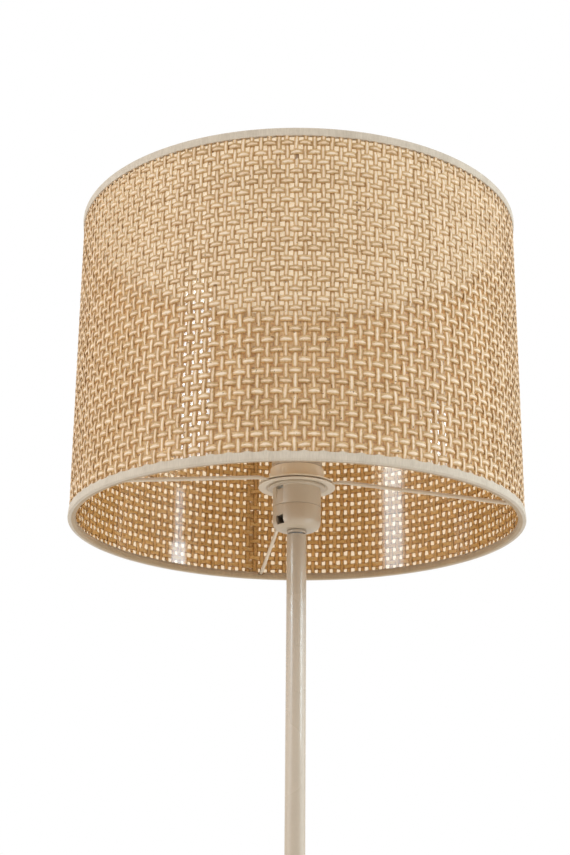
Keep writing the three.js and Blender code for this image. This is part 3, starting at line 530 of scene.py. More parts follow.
class Shader:
    """The node tree of a material or world, with a short call for each kind of node that is used."""

    def __init__(self, owner):
        owner.use_nodes = True
        self.owner = owner
        self.tree = owner.node_tree
        self.tree.nodes.clear()

    def node(self, kind, inputs=None, **settings):
        """The outputs of a new node, whose inputs are plain values or come from other nodes."""
        made = self.tree.nodes.new(kind)
        for key, value in settings.items():
            setattr(made, key, value)
        for key, value in (inputs or {}).items():
            source = value.socket if isinstance(value, Value) else value
            if isinstance(source, bpy.types.NodeSocket):
                self.tree.links.new(source, made.inputs[key])
            else:
                made.inputs[key].default_value = source
        return made.outputs

    def value(self, kind, output, inputs=None, **settings):
        return Value(self, self.node(kind, inputs, **settings)[output])

    def math(self, operation, first, second=0.0, clamp=False):
        return self.value("ShaderNodeMath", 0, {0: first, 1: second}, operation=operation, use_clamp=clamp)

    def mix(self, share, first, second, blend="MIX"):
        inputs = {0: share, 6: first, 7: second}
        return self.node("ShaderNodeMix", inputs, data_type="RGBA", blend_type=blend)[2]

    def ramp(self, value, stops):
        colour = self.node("ShaderNodeValToRGB", {"Fac": value})["Color"]
        elements = colour.node.color_ramp.elements
        while len(elements) < len(stops):
            elements.new(0.5)
        for element, (place, stop) in zip(elements, stops):
            element.position = place
            element.color = stop
        return colour

    def stretch(self, value, low_in, high_in, low_out=0.0, high_out=1.0):
        inputs = {0: value, 1: low_in, 2: high_in, 3: low_out, 4: high_out}
        return self.value("ShaderNodeMapRange", 0, inputs, interpolation_type="SMOOTHSTEP")

    def place(self):
        return self.node("ShaderNodeTexCoord")["Object"]

    def parts(self, vector):
        return [Value(self, output) for output in self.node("ShaderNodeSeparateXYZ", {0: vector})]

    def drum_place(self):
        """Where a point lies: x, y, its height and its distance from the lamp's axis."""
        x, y, height = self.parts(self.place())
        return x, y, height, self.math("SQRT", x * x + y * y)

    def noise(self, vector, scale, detail=2.0, roughness=0.5):
        inputs = {"Vector": vector, "Scale": scale, "Detail": detail, "Roughness": roughness}
        return self.value("ShaderNodeTexNoise", "Fac", inputs)

    def attribute(self, name):
        return self.parts(self.node("ShaderNodeAttribute", attribute_name=name)["Vector"])

    def vector(self, x, y, z):
        return self.node("ShaderNodeCombineXYZ", {0: x, 1: y, 2: z})[0]

    def bump(self, height, strength, distance):
        inputs = {"Height": height, "Strength": strength, "Distance": distance}
        return self.node("ShaderNodeBump", inputs)["Normal"]

    def principled(self, colour, roughness, normal, **inputs):
        made = {"Base Color": colour, "Roughness": roughness, "Normal": normal}
        made.update({key.replace("_", " "): value for key, value in inputs.items()})
        return self.node("ShaderNodeBsdfPrincipled", made)["BSDF"]

    def surface(self, kind, colour, **inputs):
        return self.node(f"ShaderNodeBsdf{kind}", {"Color": colour, **inputs})[0]

    def blend(self, share, first, second):
        return self.node("ShaderNodeMixShader", {0: share, 1: first, 2: second})[0]

    def finish(self, surface):
        self.node("ShaderNodeOutputMaterial", {"Surface": surface})
        return self.owner


def rattan_material():
    """Split rattan: a pale ridge between tan flanks, partly the cane's own colour and partly a painted
    highlight, with painted shade along its edges and where it dives under, and a warm glow.
    """
    shader = Shader(bpy.data.materials.new("rattan"))
    across, through, along = shader.attribute("strand_place")
    tone, lift, leaf = shader.attribute("strand_tone")
    signed_lift = lift * 2 - 1
    fibres = shader.noise(shader.vector(across * 5, tone * 30, along * 150), 1.0, 3.0, 0.6)
    mottle = shader.noise(shader.vector(across * 1.5, tone * 9, along * 420), 1.0)
    wander = (shader.noise(shader.vector(tone * 17, 0.0, along * 230), 1.0, 1.0) - 0.5) * 0.45
    # The ridge narrows and moves aside where a leaf-shaped strand dives
    taper = leaf * (1.0 - signed_lift)
    narrowed = abs(across - taper * 0.55) + taper + wander
    inside = shader.stretch(through, 0.2, -0.5)
    core = shader.stretch(narrowed, 0.44, 0.28) * shader.stretch(inside, 0.0, 1.0, 1.0, 0.4)
    light = (fibres - 0.5) * 1.2 + (mottle - 0.5) * 1.1 + 0.5 + (tone - 0.5) * 0.40
    pale = shader.ramp(light, RIDGE)
    # The side inside the drum takes paler colours: painted light
    tan = shader.mix(inside, shader.ramp(light, FLANKS), shader.ramp(light, INSIDE_PAINTED_LIGHT))
    # Painted shade along a strand's edges, deeper inside the drum and narrower on the upper side of a row
    upper_side = shader.math("GREATER_THAN", leaf, 0.1) * shader.math("MAXIMUM", across * -1, 0.0)
    rim_shade = shader.stretch(abs(across) + wander + upper_side * -0.14, 0.60, 0.92)
    shadow = shader.mix(inside, srgb(230, 208, 172), srgb(164, 132, 93))
    tan = shader.mix(rim_shade, tan, shadow, "MULTIPLY")
    # The pale ridge over the flanks: partly the cane's own colour and partly a painted highlight
    colour = shader.mix(core, tan, pale)
    # Painted shade where a strand dives under the strands that cross it
    dive_shade = shader.stretch(signed_lift * through, -0.10, -0.85)
    colour = shader.mix(dive_shade, colour, srgb(218, 188, 144), "MULTIPLY")
    knots = shader.noise(shader.vector(across * 0.7, tone * 41, along * 95), 1.0, 1.0)
    colour = shader.mix(shader.stretch(knots, 0.71, 0.75, 0.0, 0.8), colour, srgb(126, 88, 48))
    roughness = shader.stretch(fibres, 0.3, 0.7, 0.40, 0.62)
    normal = shader.bump(fibres, 0.6, 0.2 * MM)
    body = shader.principled(colour, roughness, normal, Specular_IOR_Level=0.35)
    glow = shader.surface("Translucent", shader.mix(1.0, colour, srgb(250, 246, 226), "MULTIPLY"))
    return shader.finish(shader.blend(RATTAN_GLOW, body, glow))


def film_material():
    """Film that mirrors more at a flat angle: clear and glossy from inside, hazy from outside."""
    shader = Shader(bpy.data.materials.new("clear_film"))
    facing = shader.value("ShaderNodeLayerWeight", "Facing", {"Blend": 0.5})
    leaves_film = shader.value("ShaderNodeNewGeometry", "Backfacing")
    x, y, height, radius = shader.drum_place()
    inner_face = shader.math("LESS_THAN", radius, LINER_RADIUS - LINER_THICKNESS / 2)
    outer_face = 1.0 - inner_face
    flat = shader.math("POWER", facing, 5.0) * 0.8
    gloss_end = SHADE_BOTTOM + GLOSS_TOP
    inner_mirror = shader.stretch(height, gloss_end, gloss_end - GLOSS_FADE) * (flat + INNER_GLOSS)
    mirror = inner_face * inner_mirror + outer_face * (flat + OUTER_GLOSS)
    mirror = mirror * (1.0 - leaves_film)
    from_outside = shader.math("SUBTRACT", outer_face, leaves_film, clamp=True)
    clear = shader.surface("Transparent", FILM_TINT)
    frosted = shader.surface("Refraction", FILM_TINT, Roughness=0.6, IOR=1.05)
    clear = shader.blend(from_outside * FILM_FROST, clear, frosted)
    haze = shader.blend(0.5, shader.surface("Diffuse", FILM_HAZE), shader.surface("Translucent", FILM_HAZE))
    patches = shader.stretch(shader.noise(shader.place(), 420.0), 0.38, 0.62, *FILM_HAZE_SHARES)
    body = shader.blend(from_outside * patches, clear, haze)
    roughness = shader.stretch(shader.noise(shader.place(), 14.0, 1.0), 0.35, 0.65, 0.07, 0.11)
    gloss = shader.node("ShaderNodeBsdfAnisotropic", {"Roughness": roughness})[0]
    return shader.finish(shader.blend(mirror, body, gloss))


def tape_material():
    """Ribbed woven tape: fine ribs across its length, uneven threads, and painted shade, darker and warmer,
    on its leg inside the drum.
    """
    shader = Shader(bpy.data.materials.new("trim_tape"))
    x, y, height, radius = shader.drum_place()
    arc = shader.math("ARCTAN2", y, x) * TAPE_OUTER
    ribs = shader.math("SINE", arc * (2 * math.pi / RIB_PITCH))
    threads = shader.noise(shader.vector(arc * 1100, height * 160, 0.0), 1.0)
    cloud = shader.noise(shader.vector(arc * 60, height * 60, 0.0), 1.0)
    value = ribs * 0.06 + (threads * 0.5 + cloud * 0.4)
    colour = shader.ramp(value, [(0.25, srgb(182, 168, 149)), (0.65, srgb(209, 195, 176))])
    # Painted shade: the leg inside the drum is darker and warmer
    inner_leg_shade = shader.stretch(radius, LINER_RADIUS, LINER_RADIUS - LINER_THICKNESS)
    colour = shader.mix(inner_leg_shade, colour, srgb(222, 205, 180), "MULTIPLY")
    normal = shader.bump(ribs * 0.35 + threads, 0.35, 0.2 * MM)
    return shader.finish(shader.principled(colour, 0.9, normal, Sheen_Weight=0.15))


def plain_finish(name, colour, roughness, grain, depth, metallic=0.0, spread=0.04):
    """A paint, plastic or metal: an even colour with slight clouds, and a fine texture in its surface."""
    shader = Shader(bpy.data.materials.new(name))
    place = shader.place()
    fine = shader.noise(place, grain)
    cloud = shader.noise(place, grain / 25, 3.0)
    even = srgb(*colour)[:3]
    shades = [(*(min(part * share, 1) for part in even), 1.0) for share in (1 - spread, 1 + spread)]
    tint = shader.ramp(cloud * 0.7 + fine * 0.3, list(zip((0.3, 0.7), shades)))
    rough = shader.stretch(cloud, 0.3, 0.7, roughness * 0.88, roughness * 1.12)
    normal = shader.bump(fine, 0.5, depth * MM)
    return shader.finish(shader.principled(tint, rough, normal, Metallic=metallic))


def make_materials():
    """The three woven or clear materials, and every plain finish."""
    MATERIALS.update(rattan=rattan_material(), clear_film=film_material(), trim_tape=tape_material())
    for name, finish in FINISHES.items():
        MATERIALS[name] = plain_finish(name, *finish)


# Setting


def add_camera():
    """The camera of the photograph's view."""
    pitch, yaw, roll = angles(*CAMERA_TURNS)
    forward = Vector((math.sin(yaw) * math.cos(pitch), math.cos(yaw) * math.cos(pitch), math.sin(pitch)))
    level_right = Vector((math.cos(yaw), -math.sin(yaw), 0))
    level_up = level_right.cross(forward)
    right = math.cos(roll) * level_right + math.sin(roll) * level_up
    up = -math.sin(roll) * level_right + math.cos(roll) * level_up
    data = bpy.data.cameras.new("camera")
    data.lens = CAMERA_LENS
    data.sensor_width = CAMERA_SENSOR
    camera = bpy.data.objects.new("camera", data)
    bpy.context.scene.collection.objects.link(camera)
    axes = Matrix((right, up, -forward)).transposed().to_4x4()
    camera.matrix_world = Matrix.Translation(CAMERA_PLACE) @ axes
    bpy.context.scene.camera = camera


def add_world():
    """White for the camera and for mirrors and glass, and an even soft light for everything else."""
    world = bpy.data.worlds.new("studio")
    bpy.context.scene.world = world
    shader = Shader(world)
    path = shader.node("ShaderNodeLightPath")
    seen = shader.math("MAXIMUM", path["Is Camera Ray"], path["Is Glossy Ray"])
    white = shader.math("MAXIMUM", seen, path["Is Transmission Ray"])
    strength = shader.value("ShaderNodeMapRange", "Result", {"Value": white, "To Min": SOFT_LIGHT})
    inputs = {"Color": (1, 1, 1, 1), "Strength": strength}
    shader.node("ShaderNodeOutputWorld", {"Surface": shader.node("ShaderNodeBackground", inputs)[0]})


def heading(azimuth, elevation=0.0):
    """A direction away from the lamp's axis. Azimuth 0 is in front, 90 on the right."""
    turn, tilt = math.radians(azimuth), math.radians(elevation)
    return Vector((math.sin(turn) * math.cos(tilt), -math.cos(turn) * math.cos(tilt), math.sin(tilt)))


def add_lamp(name, place, away, width, height, radiance, colour):
    """A lit rectangle that faces back along away."""
    data = bpy.data.lights.new(name, "AREA")
    data.shape = "RECTANGLE"
    data.size = width
    data.size_y = height
    data.energy = radiance * width * height * math.pi
    data.color = colour
    lamp = bpy.data.objects.new(name, data)
    bpy.context.scene.collection.objects.link(lamp)
    lamp.location = place
    lamp.rotation_mode = "QUATERNION"
    lamp.rotation_quaternion = (-away).to_track_quat("-Z", "Y")
    lamp.visible_camera = False
    return lamp


def add_soft_box(name, azimuth, elevation, width, height, radiance, colour):
    """A soft lamp far from the shade, with its width and height in degrees."""
    middle = Vector((0, 0, (SHADE_BOTTOM + SHADE_TOP) / 2))
    away = heading(azimuth, elevation)
    wide, tall = (2 * LAMP_DISTANCE * math.tan(math.radians(size / 2)) for size in (width, height))
    add_lamp(name, middle + away * LAMP_DISTANCE, away, wide, tall, radiance, colour)


def add_strip(name, azimuth, away, side, lower, upper, width, radiance):
    """An upright strip, near or far, which film and paint mirror and nothing else shows."""
    outward = heading(azimuth)
    height = SHADE_BOTTOM + (lower + upper) / 2 * MM
    place = outward * away * MM + heading(azimuth + 90) * side * MM + Vector((0, 0, height))
    lamp = add_lamp(name, place, outward, width * MM, (upper - lower) * MM, radiance, STRIP_COLOUR)
    lamp.visible_diffuse = False
    lamp.visible_transmission = False


def add_floor():
    """A plain pale floor."""
    half = FLOOR_SIZE / 2
    corners = [(-half, -half, 0), (half, -half, 0), (half, half, 0), (-half, half, 0)]
    floor = new_mesh("floor", corners, [(0, 1, 2, 3)])
    dress(floor, "floor")


# Shade


def drift(source, count, along, periods):
    """Smooth random values near -1 to 1 for each strand: waves with whole numbers of periods along it."""
    total = np.zeros((count, len(along)))
    for period in periods:
        phase = source.uniform(0, 2 * math.pi, (count, 1))
        total += np.sin(period * along[None, :] + phase) * source.uniform(0.4, 1.0, (count, 1))
    return total / math.sqrt(len(periods))


def over_under(place):
    """The wave of a strand: 1 where it passes over and -1 where it passes under, at half numbers."""
    return np.clip(WAVE_FLATNESS * np.cos(math.pi * (place - 0.5)), -1, 1)


def radial(azimuth):
    return np.stack([np.cos(azimuth), np.sin(azimuth), 0 * azimuth], axis=-1)


def twisted(side, outward, angle):
    """Turns a strand's section by an angle."""
    cosine, sine = np.cos(angle)[..., None], np.sin(angle)[..., None]
    return side * cosine + outward * sine, outward * cosine - side * sine


def upright_strands(name, columns, azimuths, radius, ends, source):
    """Upright strands between two heights, that pass over and under the rows."""
    bottom, top = ends
    inner = np.arange(1, ROWS * STATIONS_PER_PITCH) * ROW_PITCH / STATIONS_PER_PITCH + SHADE_BOTTOM
    inner = inner[(inner > bottom + STRAND_END) & (inner < top - STRAND_END)]
    height = np.concatenate([[bottom], inner, [top]])
    count = len(columns)
    along = (height - SHADE_BOTTOM) / SHADE_HEIGHT * 2 * math.pi
    lift = (-1.0) ** columns[:, None] * over_under((height - SHADE_BOTTOM) / ROW_PITCH)[None, :]
    azimuth = azimuths[:, None] + UPRIGHT_SWAY * drift(source, count, along, (2, 5, 9, 14)) / radius
    outward = radial(azimuth)
    centre = outward * (radius + STRAND_LIFT * lift)[..., None]
    centre[..., 2] = height[None, :]
    twist = UPRIGHT_TWIST * drift(source, count, along, (4, 9, 15))
    side, outward = twisted(radial(azimuth + math.pi / 2), outward, twist)
    half_width = UPRIGHT_WIDTH / 2 * (1 + UPRIGHT_UNEVEN * drift(source, count, along, (1, 4, 11)))
    made = strands(name, centre, side, outward, half_width, False)
    tone = source.uniform(0, 1, (count, 1)) + 0.15 * drift(source, count, along, (3, 8))
    mark_strands(made, height + source.uniform(0, PATTERN_SHIFT, (count, 1)), tone, lift, UPRIGHT_LEAF)
    return made


def row_strands(name, rows, middles, radius, source, span=None):
    """Level strands that pass under and over the uprights: whole rings, or a span of azimuths."""
    if span is None:
        azimuth = np.arange(COLUMNS * STATIONS_PER_PITCH) * COLUMN_ANGLE / STATIONS_PER_PITCH
    else:
        azimuth = np.linspace(*span, SEAM_STATIONS)
    count = len(rows)
    lift = -((-1.0) ** rows[:, None]) * over_under(azimuth / COLUMN_ANGLE)[None, :]
    outward = radial(np.broadcast_to(azimuth, lift.shape))
    centre = outward * (radius + STRAND_LIFT * lift)[..., None]
    centre[..., 2] = middles[:, None] + ROW_SWAY * drift(source, count, azimuth, (3, 17, 41, 67, 83))
    down = np.zeros_like(outward)
    down[..., 2] = -1
    side, outward = twisted(down, outward, ROW_TWIST * drift(source, count, azimuth, (11, 43, 71)))
    uneven = ROW_UNEVEN * drift(source, count, azimuth, (7, 37, 61))
    half_width = ROW_WIDTH / 2 * (1 + ROW_SWELL * (lift - 1) + uneven)
    made = strands(name, centre, side, outward, half_width, span is None)
    tone = source.uniform(0, 1, (count, 1)) + 0.2 * drift(source, count, azimuth, (5, 29, 57))
    along = azimuth * radius + source.uniform(0, PATTERN_SHIFT, (count, 1))
    mark_strands(made, along, tone, lift, ROW_LEAF)
    return made


def add_weave():
    """The woven drum in four pieces, and the lap of its seam on the outside."""
    source = np.random.default_rng(7)
    made = []
    ends = heights("shade_weave")
    for part, columns in enumerate(np.array_split(np.arange(COLUMNS), 2), 1):
        azimuths = (columns + 0.5) * COLUMN_ANGLE
        made.append(upright_strands(f"weave_uprights_{part}", columns, azimuths, WEAVE_RADIUS, ends, source))
    for part, rows in enumerate(np.array_split(np.arange(ROWS), 2), 1):
        middles = SHADE_BOTTOM + (rows + 0.5) * ROW_PITCH
        made.append(row_strands(f"weave_rows_{part}", rows, middles, WEAVE_RADIUS, source))
    columns = np.arange(2)
    azimuths = np.round(SEAM_AZIMUTH / COLUMN_ANGLE) * COLUMN_ANGLE + (columns - 0.5) * COLUMN_ANGLE
    ends = (SHADE_BOTTOM + SEAM_MARGIN, SHADE_TOP - SEAM_MARGIN)
    made.append(upright_strands("seam_uprights", columns, azimuths, SEAM_RADIUS, ends, source))
    rows = np.arange(ROWS - 1)
    middles = SHADE_BOTTOM + (rows + 1.0) * ROW_PITCH
    half = SEAM_WIDTH / 2 / SEAM_RADIUS
    span = (SEAM_AZIMUTH - half, SEAM_AZIMUTH + half)
    made.append(row_strands("seam_rows", rows, middles, SEAM_RADIUS, source, span))
    for group in made:
        piece(group, "shade", "rattan", "shade_weave")


def add_liner():
    """The smooth film behind the weave."""
    node = "shade_liner"
    outline = tube(LINER_RADIUS - LINER_THICKNESS, LINER_RADIUS, *heights(node))
    piece(turned("liner_film", outline, LINER_FACETS), "shade", "clear_film", node)


def tape_outline():
    """A tape over an edge, as heights from it: its outer leg, its fold, and the leg against the film."""
    film = LINER_RADIUS - LINER_THICKNESS
    inside = TAPE_INNER + TAPE_THICKNESS
    corners = [
        (TAPE_OUTER - TAPE_LEAN, TAPE_LEG, CRISP),
        (TAPE_OUTER, 0, TAPE_FOLD),
        (TAPE_INNER, 0, TAPE_FOLD),
        (TAPE_INNER, TAPE_KNEE, 0.8 * TAPE_FOLD),
        (film - TAPE_THICKNESS, TAPE_LEG, CRISP),
        (film, TAPE_LEG, 0),
        (inside, TAPE_KNEE, CRISP),
        (inside, 2 * TAPE_THICKNESS, CRISP),
        (TAPE_GRIP, 2 * TAPE_THICKNESS, CRISP),
        (TAPE_GRIP, TAPE_LEG, CRISP),
    ]
    return rounded(corners)


def from_azimuth(angle, azimuth):
    """An angle as seen from an azimuth, within half a turn to each side."""
    return (angle - azimuth + math.pi) % (2 * math.pi) - math.pi


def add_tapes():
    """The tapes round the bottom and top edges. The bottom one bulges over the strands under it."""
    half_leg = TAPE_LEG / 2
    outline = tape_outline()

    def bottom_shape(angle, radius, height):
        near_edge = np.clip((height - half_leg) / half_leg, 0, 1)
        bulge = np.maximum(0, np.cos(math.pi * (angle / COLUMN_ANGLE - 0.5))) ** SCALLOP_FULLNESS
        outside = radius >= TAPE_GRIP - TINY
        lifted = height + np.where(outside, TAPE_SCALLOP * bulge * near_edge, 0)
        for azimuth in ARM_AZIMUTHS:
            apart = np.abs(from_azimuth(angle, azimuth)) * radius
            notch = np.clip(1.5 - apart / ARM_NOTCH_WIDTH, 0, 1)
            lifted = lifted - np.where(outside, 0, ARM_NOTCH * notch * near_edge)
        return radius, lifted + SHADE_BOTTOM

    def top_shape(angle, radius, height):
        near_edge = np.clip((-height - half_leg) / half_leg, 0, 1)
        return radius, height + TAPE_RIPPLE * np.sin(COLUMNS * angle) * near_edge + SHADE_TOP

    made = turned("bottom_tape_fabric", outline, TAPE_FACETS, bottom_shape)
    piece(made, "shade", "trim_tape", "bottom_tape")
    outline = [(radius, -height) for radius, height in outline]
    made = turned("top_tape_fabric", outline, TAPE_FACETS, top_shape)
    piece(made, "shade", "trim_tape", "top_tape")


def add_spider():
    """The dished plate and the three arms with their flattened roots."""
    rim_shade = outer_radius("spider_plate")
    top = high("spider_plate")
    bottom = top - PLATE_THICKNESS
    seat, band = PLATE_SLOPE
    dish = bottom - PLATE_DISH
    under = [(PLATE_BORE, bottom, CRISP), (seat, bottom, SOFT), (band, dish, SOFT), (rim_shade, dish, PLATE_RIM)]
    over = [(x, z + PLATE_THICKNESS, rounding) for x, z, rounding in reversed(under)]
    made = turned("spider_plate_smooth", rounded(under + over), HOLDER_FACETS)
    piece(made, "shade", "spider_paint_lit", "spider_plate")
    for number, azimuth in enumerate(ARM_AZIMUTHS, 1):
        add_arm(number, azimuth, rim_shade, top)


def add_arm(number, azimuth, rim_shade, plate_top):
    """One arm: a tongue on the plate, a round wire, and a level end on the edge ring."""
    tongue_height = plate_top - PLATE_DISH + TONGUE_LIFT + TONGUE_HALF[1]
    end_height = SHADE_BOTTOM + ARM_END_HEIGHT
    end = LINER_RADIUS - ARM_END_GAP
    corners = [
        Vector((rim_shade - TONGUE_LENGTH, 0, tongue_height)),
        Vector((rim_shade + ARM_RADIUS + ARM_LEVEL, 0, tongue_height)),
        Vector((end - ARM_LEVEL, 0, end_height)),
        Vector((end, 0, end_height)),
    ]
    straight_end = corners[1] - Vector((ARM_BEND, 0, 0))
    places = [corners[0].lerp(straight_end, share) for share in np.linspace(0, 1, 13)[:-1]]
    for i in (1, 2):
        before = corners[i] + (corners[i - 1] - corners[i]).normalized() * ARM_BEND
        after = corners[i] + (corners[i + 1] - corners[i]).normalized() * ARM_BEND
        for share in np.linspace(0, 1, 9):
            places.append(before.lerp(corners[i], share).lerp(corners[i].lerp(after, share), share))
    places.append(corners[3])
    half_sizes = []
    for place in places:
        share = min(max((place.x - rim_shade + SOFT) / TONGUE_CHANGE, 0), 1)
        blend = share * share * (3 - 2 * share)
        half_sizes.append([a + (ARM_RADIUS - a) * blend for a in TONGUE_HALF])
    directions = [(b - a).normalized() for a, b in zip(places, places[1:])]
    directions.append(directions[-1])
    across = Vector((0, -1, 0))
    up = [across.cross(direction) for direction in directions]
    made = sweep(f"spider_arm_wire_{number}", places, across, up, half_sizes)
    made.data.transform(Matrix.Rotation(azimuth, 4, "Z"))
    piece(made, "shade", "spider_paint_lit", f"spider_arm_{number}")


# Lampholder


def add_dome():
    """The rounded lower half, with a window for each latch."""
    top = high("holder_dome")
    floor = HOLDER_BOTTOM + DOME_FLOOR
    corners = [
        (ROD_HOLE, HOLDER_BOTTOM, FINE),
        (HOLDER_RADIUS, HOLDER_BOTTOM, DOME_CORNER),
        (HOLDER_RADIUS, top, PARTING_EDGE),
        (HOLDER_BORE, top, CRISP),
        (HOLDER_BORE, floor, DOME_CORNER - HOLDER_WALL),
        (ROD_HOLE, floor, FINE),
    ]
    dome = turned("holder_dome_smooth", rounded(corners), HOLDER_FACETS)
    window_top = HOLDER_BOTTOM + WINDOW_TOP
    inner, outer = HOLDER_RADIUS - DOME_CORNER, HOLDER_RADIUS + OVERRUN
    cutters = latch_cutters(tube(inner, outer, window_top - WINDOW_HEIGHT, window_top), WINDOW_WIDTH)
    piece(carve(dome, cutters), "stand", "cream_plastic", "holder_dome")


def thread_wave(angle, rise, pitch):
    """How deep a thread is cut at an angle and a rise along its axis, from 0 to 1."""
    return 0.5 - 0.5 * np.cos(2 * math.pi * rise / pitch - angle)


def add_shell():
    """The upper half: body, flange and threaded skirt, with a release slot on each side."""
    bottom = low("holder_shell")
    flange = outer_radius("holder_shell")
    corners = [
        (HOLDER_BORE, bottom, CRISP),
        (HOLDER_RADIUS, bottom, PARTING_EDGE),
        (HOLDER_RADIUS, FLANGE_BOTTOM, FLANGE_CORNER),
        (flange, FLANGE_BOTTOM, SOFT),
        (flange, FLANGE_TOP, FINE),
        (SKIRT_RADIUS, FLANGE_TOP, FINE),
        (SKIRT_RADIUS, SKIRT_TOP, 0),
        (HOLDER_BORE, SKIRT_TOP, 0),
    ]
    rising = np.linspace(FLANGE_TOP + SKIRT_MARGIN, SKIRT_TOP - SKIRT_MARGIN, SKIRT_STEPS + 1)
    outline = rounded(corners)[:-2] + [(SKIRT_RADIUS, height) for height in rising]
    outline += [
        (SKIRT_RADIUS - SKIRT_BEVEL, SKIRT_TOP),
        (HOLDER_BORE + FINE, SKIRT_TOP),
        (HOLDER_BORE, SKIRT_TOP - FINE),
    ]
    start, end = FLANGE_TOP + SKIRT_PLAIN[0], SKIRT_TOP - SKIRT_PLAIN[1]

    def shape(angle, radius, height):
        wall = (np.abs(radius - SKIRT_RADIUS) < TINY) & (height > start) & (height < end)
        fade = np.clip(np.minimum(height - start, end - height) / SKIRT_PITCH, 0, 1)
        wave = thread_wave(angle, height - start, SKIRT_PITCH)
        return radius - np.where(wall, SKIRT_THREAD * wave * fade, 0), height

    shell = turned("holder_shell_smooth", outline, HOLDER_FACETS, shape)
    # A slot deepens from nothing at its bottom, and a hole at its top goes through the wall
    wall, outer = HOLDER_RADIUS, HOLDER_RADIUS + OVERRUN
    slot = [(wall, bottom), (outer, bottom), (outer, SLOT_TOP), (wall - SLOT_DEPTH, SLOT_TOP)]
    hole = tube(HOLDER_BORE - OVERRUN, outer, SLOT_TOP - SLOT_HOLE, SLOT_TOP)
    cutters = latch_cutters(slot, SLOT_WIDTH) + latch_cutters(hole, SLOT_HOLE_WIDTH)
    piece(carve(shell, cutters), "stand", "cream_plastic", "holder_shell")


def add_clamp_ring():
    """The ring that screws down on the plate: a wide flange and a wall with three finger pads."""
    bottom, top = heights("clamp_ring")
    flange = outer_radius("clamp_ring")
    flange_top = bottom + RING_FLANGE
    pad_top = flange_top + PAD_HEIGHT
    below, above = PAD_EDGES
    corners = [
        (RING_BORE, bottom, CRISP),
        (flange, bottom, above),
        (flange, flange_top, RING_EDGE),
        (RING_WALL, flange_top, RING_EDGE),
        (RING_WALL, pad_top - below, 0),
        (RING_WALL, pad_top, 0),
        (RING_WALL, pad_top + above, 0),
        (RING_WALL, top, FINE),
        (RING_BORE, top, FINE),
    ]

    def shape(angle, radius, height):
        beside = (height > flange_top + CRISP) & (height <= pad_top)
        on_wall = (np.abs(radius - RING_WALL) < PAD_REACH) & beside
        swell = np.zeros_like(radius)
        for azimuth in PAD_AZIMUTHS:
            apart = from_azimuth(angle, azimuth)
            left = np.clip((apart + PAD_HALF_WIDTH) / PAD_RAMPS[0], 0, 1)
            right = np.clip((PAD_HALF_WIDTH - apart) / PAD_RAMPS[1], 0, 1)
            swell = np.maximum(swell, np.minimum(left, right))
        return radius + np.where(on_wall, PAD_THICKNESS * swell, 0), height

    made = turned("clamp_ring_smooth", rounded(corners), 2 * HOLDER_FACETS, shape)
    piece(made, "clamp_ring", "ring_plastic_lit", "clamp_ring")


def add_contact_block():
    """The ceramic block under the screw sleeve, with a pocket behind each release slot."""
    radius = outer_radius("contact_block")
    bottom, top = heights("contact_block")
    corners = [
        (BLOCK_HOLE, bottom, FINE),
        (radius, bottom, BLOCK_EDGE),
        (radius, top, BLOCK_EDGE),
        (radius - BLOCK_WALL, top, BLOCK_EDGE),
        (radius - BLOCK_WALL, BLOCK_FLOOR, RING_EDGE),
        (BLOCK_HOLE, BLOCK_FLOOR, FINE),
    ]
    ceramic_block = turned("contact_block_smooth", rounded(corners), POLE_FACETS)
    inner, outer = radius - POCKET_DEPTH, radius + OVERRUN
    pocket = tube(inner, outer, FLANGE_BOTTOM - 2 * SLOT_HOLE, FLANGE_BOTTOM + SLOT_HOLE)
    made = carve(ceramic_block, latch_cutters(pocket, SLOT_WIDTH))
    piece(made, "stand", "ceramic", "contact_block")


def add_screw_sleeve():
    """The rolled brass thread that a bulb screws into."""
    outer = outer_radius("screw_sleeve")
    rising = np.linspace(*heights("screw_sleeve"), SLEEVE_STEPS + 1)
    outline = [(outer, height) for height in rising]
    outline += [(outer - SLEEVE_WALL, height) for height in rising[::-1]]

    def shape(angle, radius, height):
        return radius - SLEEVE_THREAD * thread_wave(angle, height, SLEEVE_PITCH), height

    made = turned("screw_sleeve_thread", outline, POLE_FACETS, shape)
    piece(made, "stand", "brass", "screw_sleeve")


def add_locknut():
    """The round nut between the pole and the lampholder."""
    node = "holder_locknut"
    outline = tube(ROD_HOLE, outer_radius(node), low(node) + NUT_GAP, high(node), NUT_EDGE)
    piece(turned("holder_locknut_smooth", outline, POLE_FACETS), "stand", "cream_metal", node)


# Pole and base


def add_pole_tubes():
    """The three tubes of the pole."""
    for number in (1, 2, 3):
        node = f"pole_tube_{number}"
        outline = tube(TUBE_BORE, POLE_RADIUS, *heights(node), FINE)
        made = turned(f"pole_tube_smooth_{number}", outline, POLE_FACETS)
        piece(made, "stand", "cream_metal", node)


def add_couplers():
    """The plugs that join the tubes. Each shows as a thin collar between two of them."""
    for number in (1, 2):
        node = f"pole_coupler_{number}"
        bottom, top = heights(node)
        collar = (bottom + top - COUPLER_COLLAR) / 2
        lower = [
            (COUPLER_BORE, bottom, FINE),
            (COUPLER_PLUG, bottom, SOFT),
            (COUPLER_PLUG, collar, 0),
            (POLE_RADIUS, collar, SOFT / 2),
        ]
        upper = [(x, bottom + top - z, rounding) for x, z, rounding in reversed(lower)]
        made = turned(f"pole_coupler_smooth_{number}", rounded(lower + upper), POLE_FACETS)
        piece(made, "stand", "zinc_steel", node)


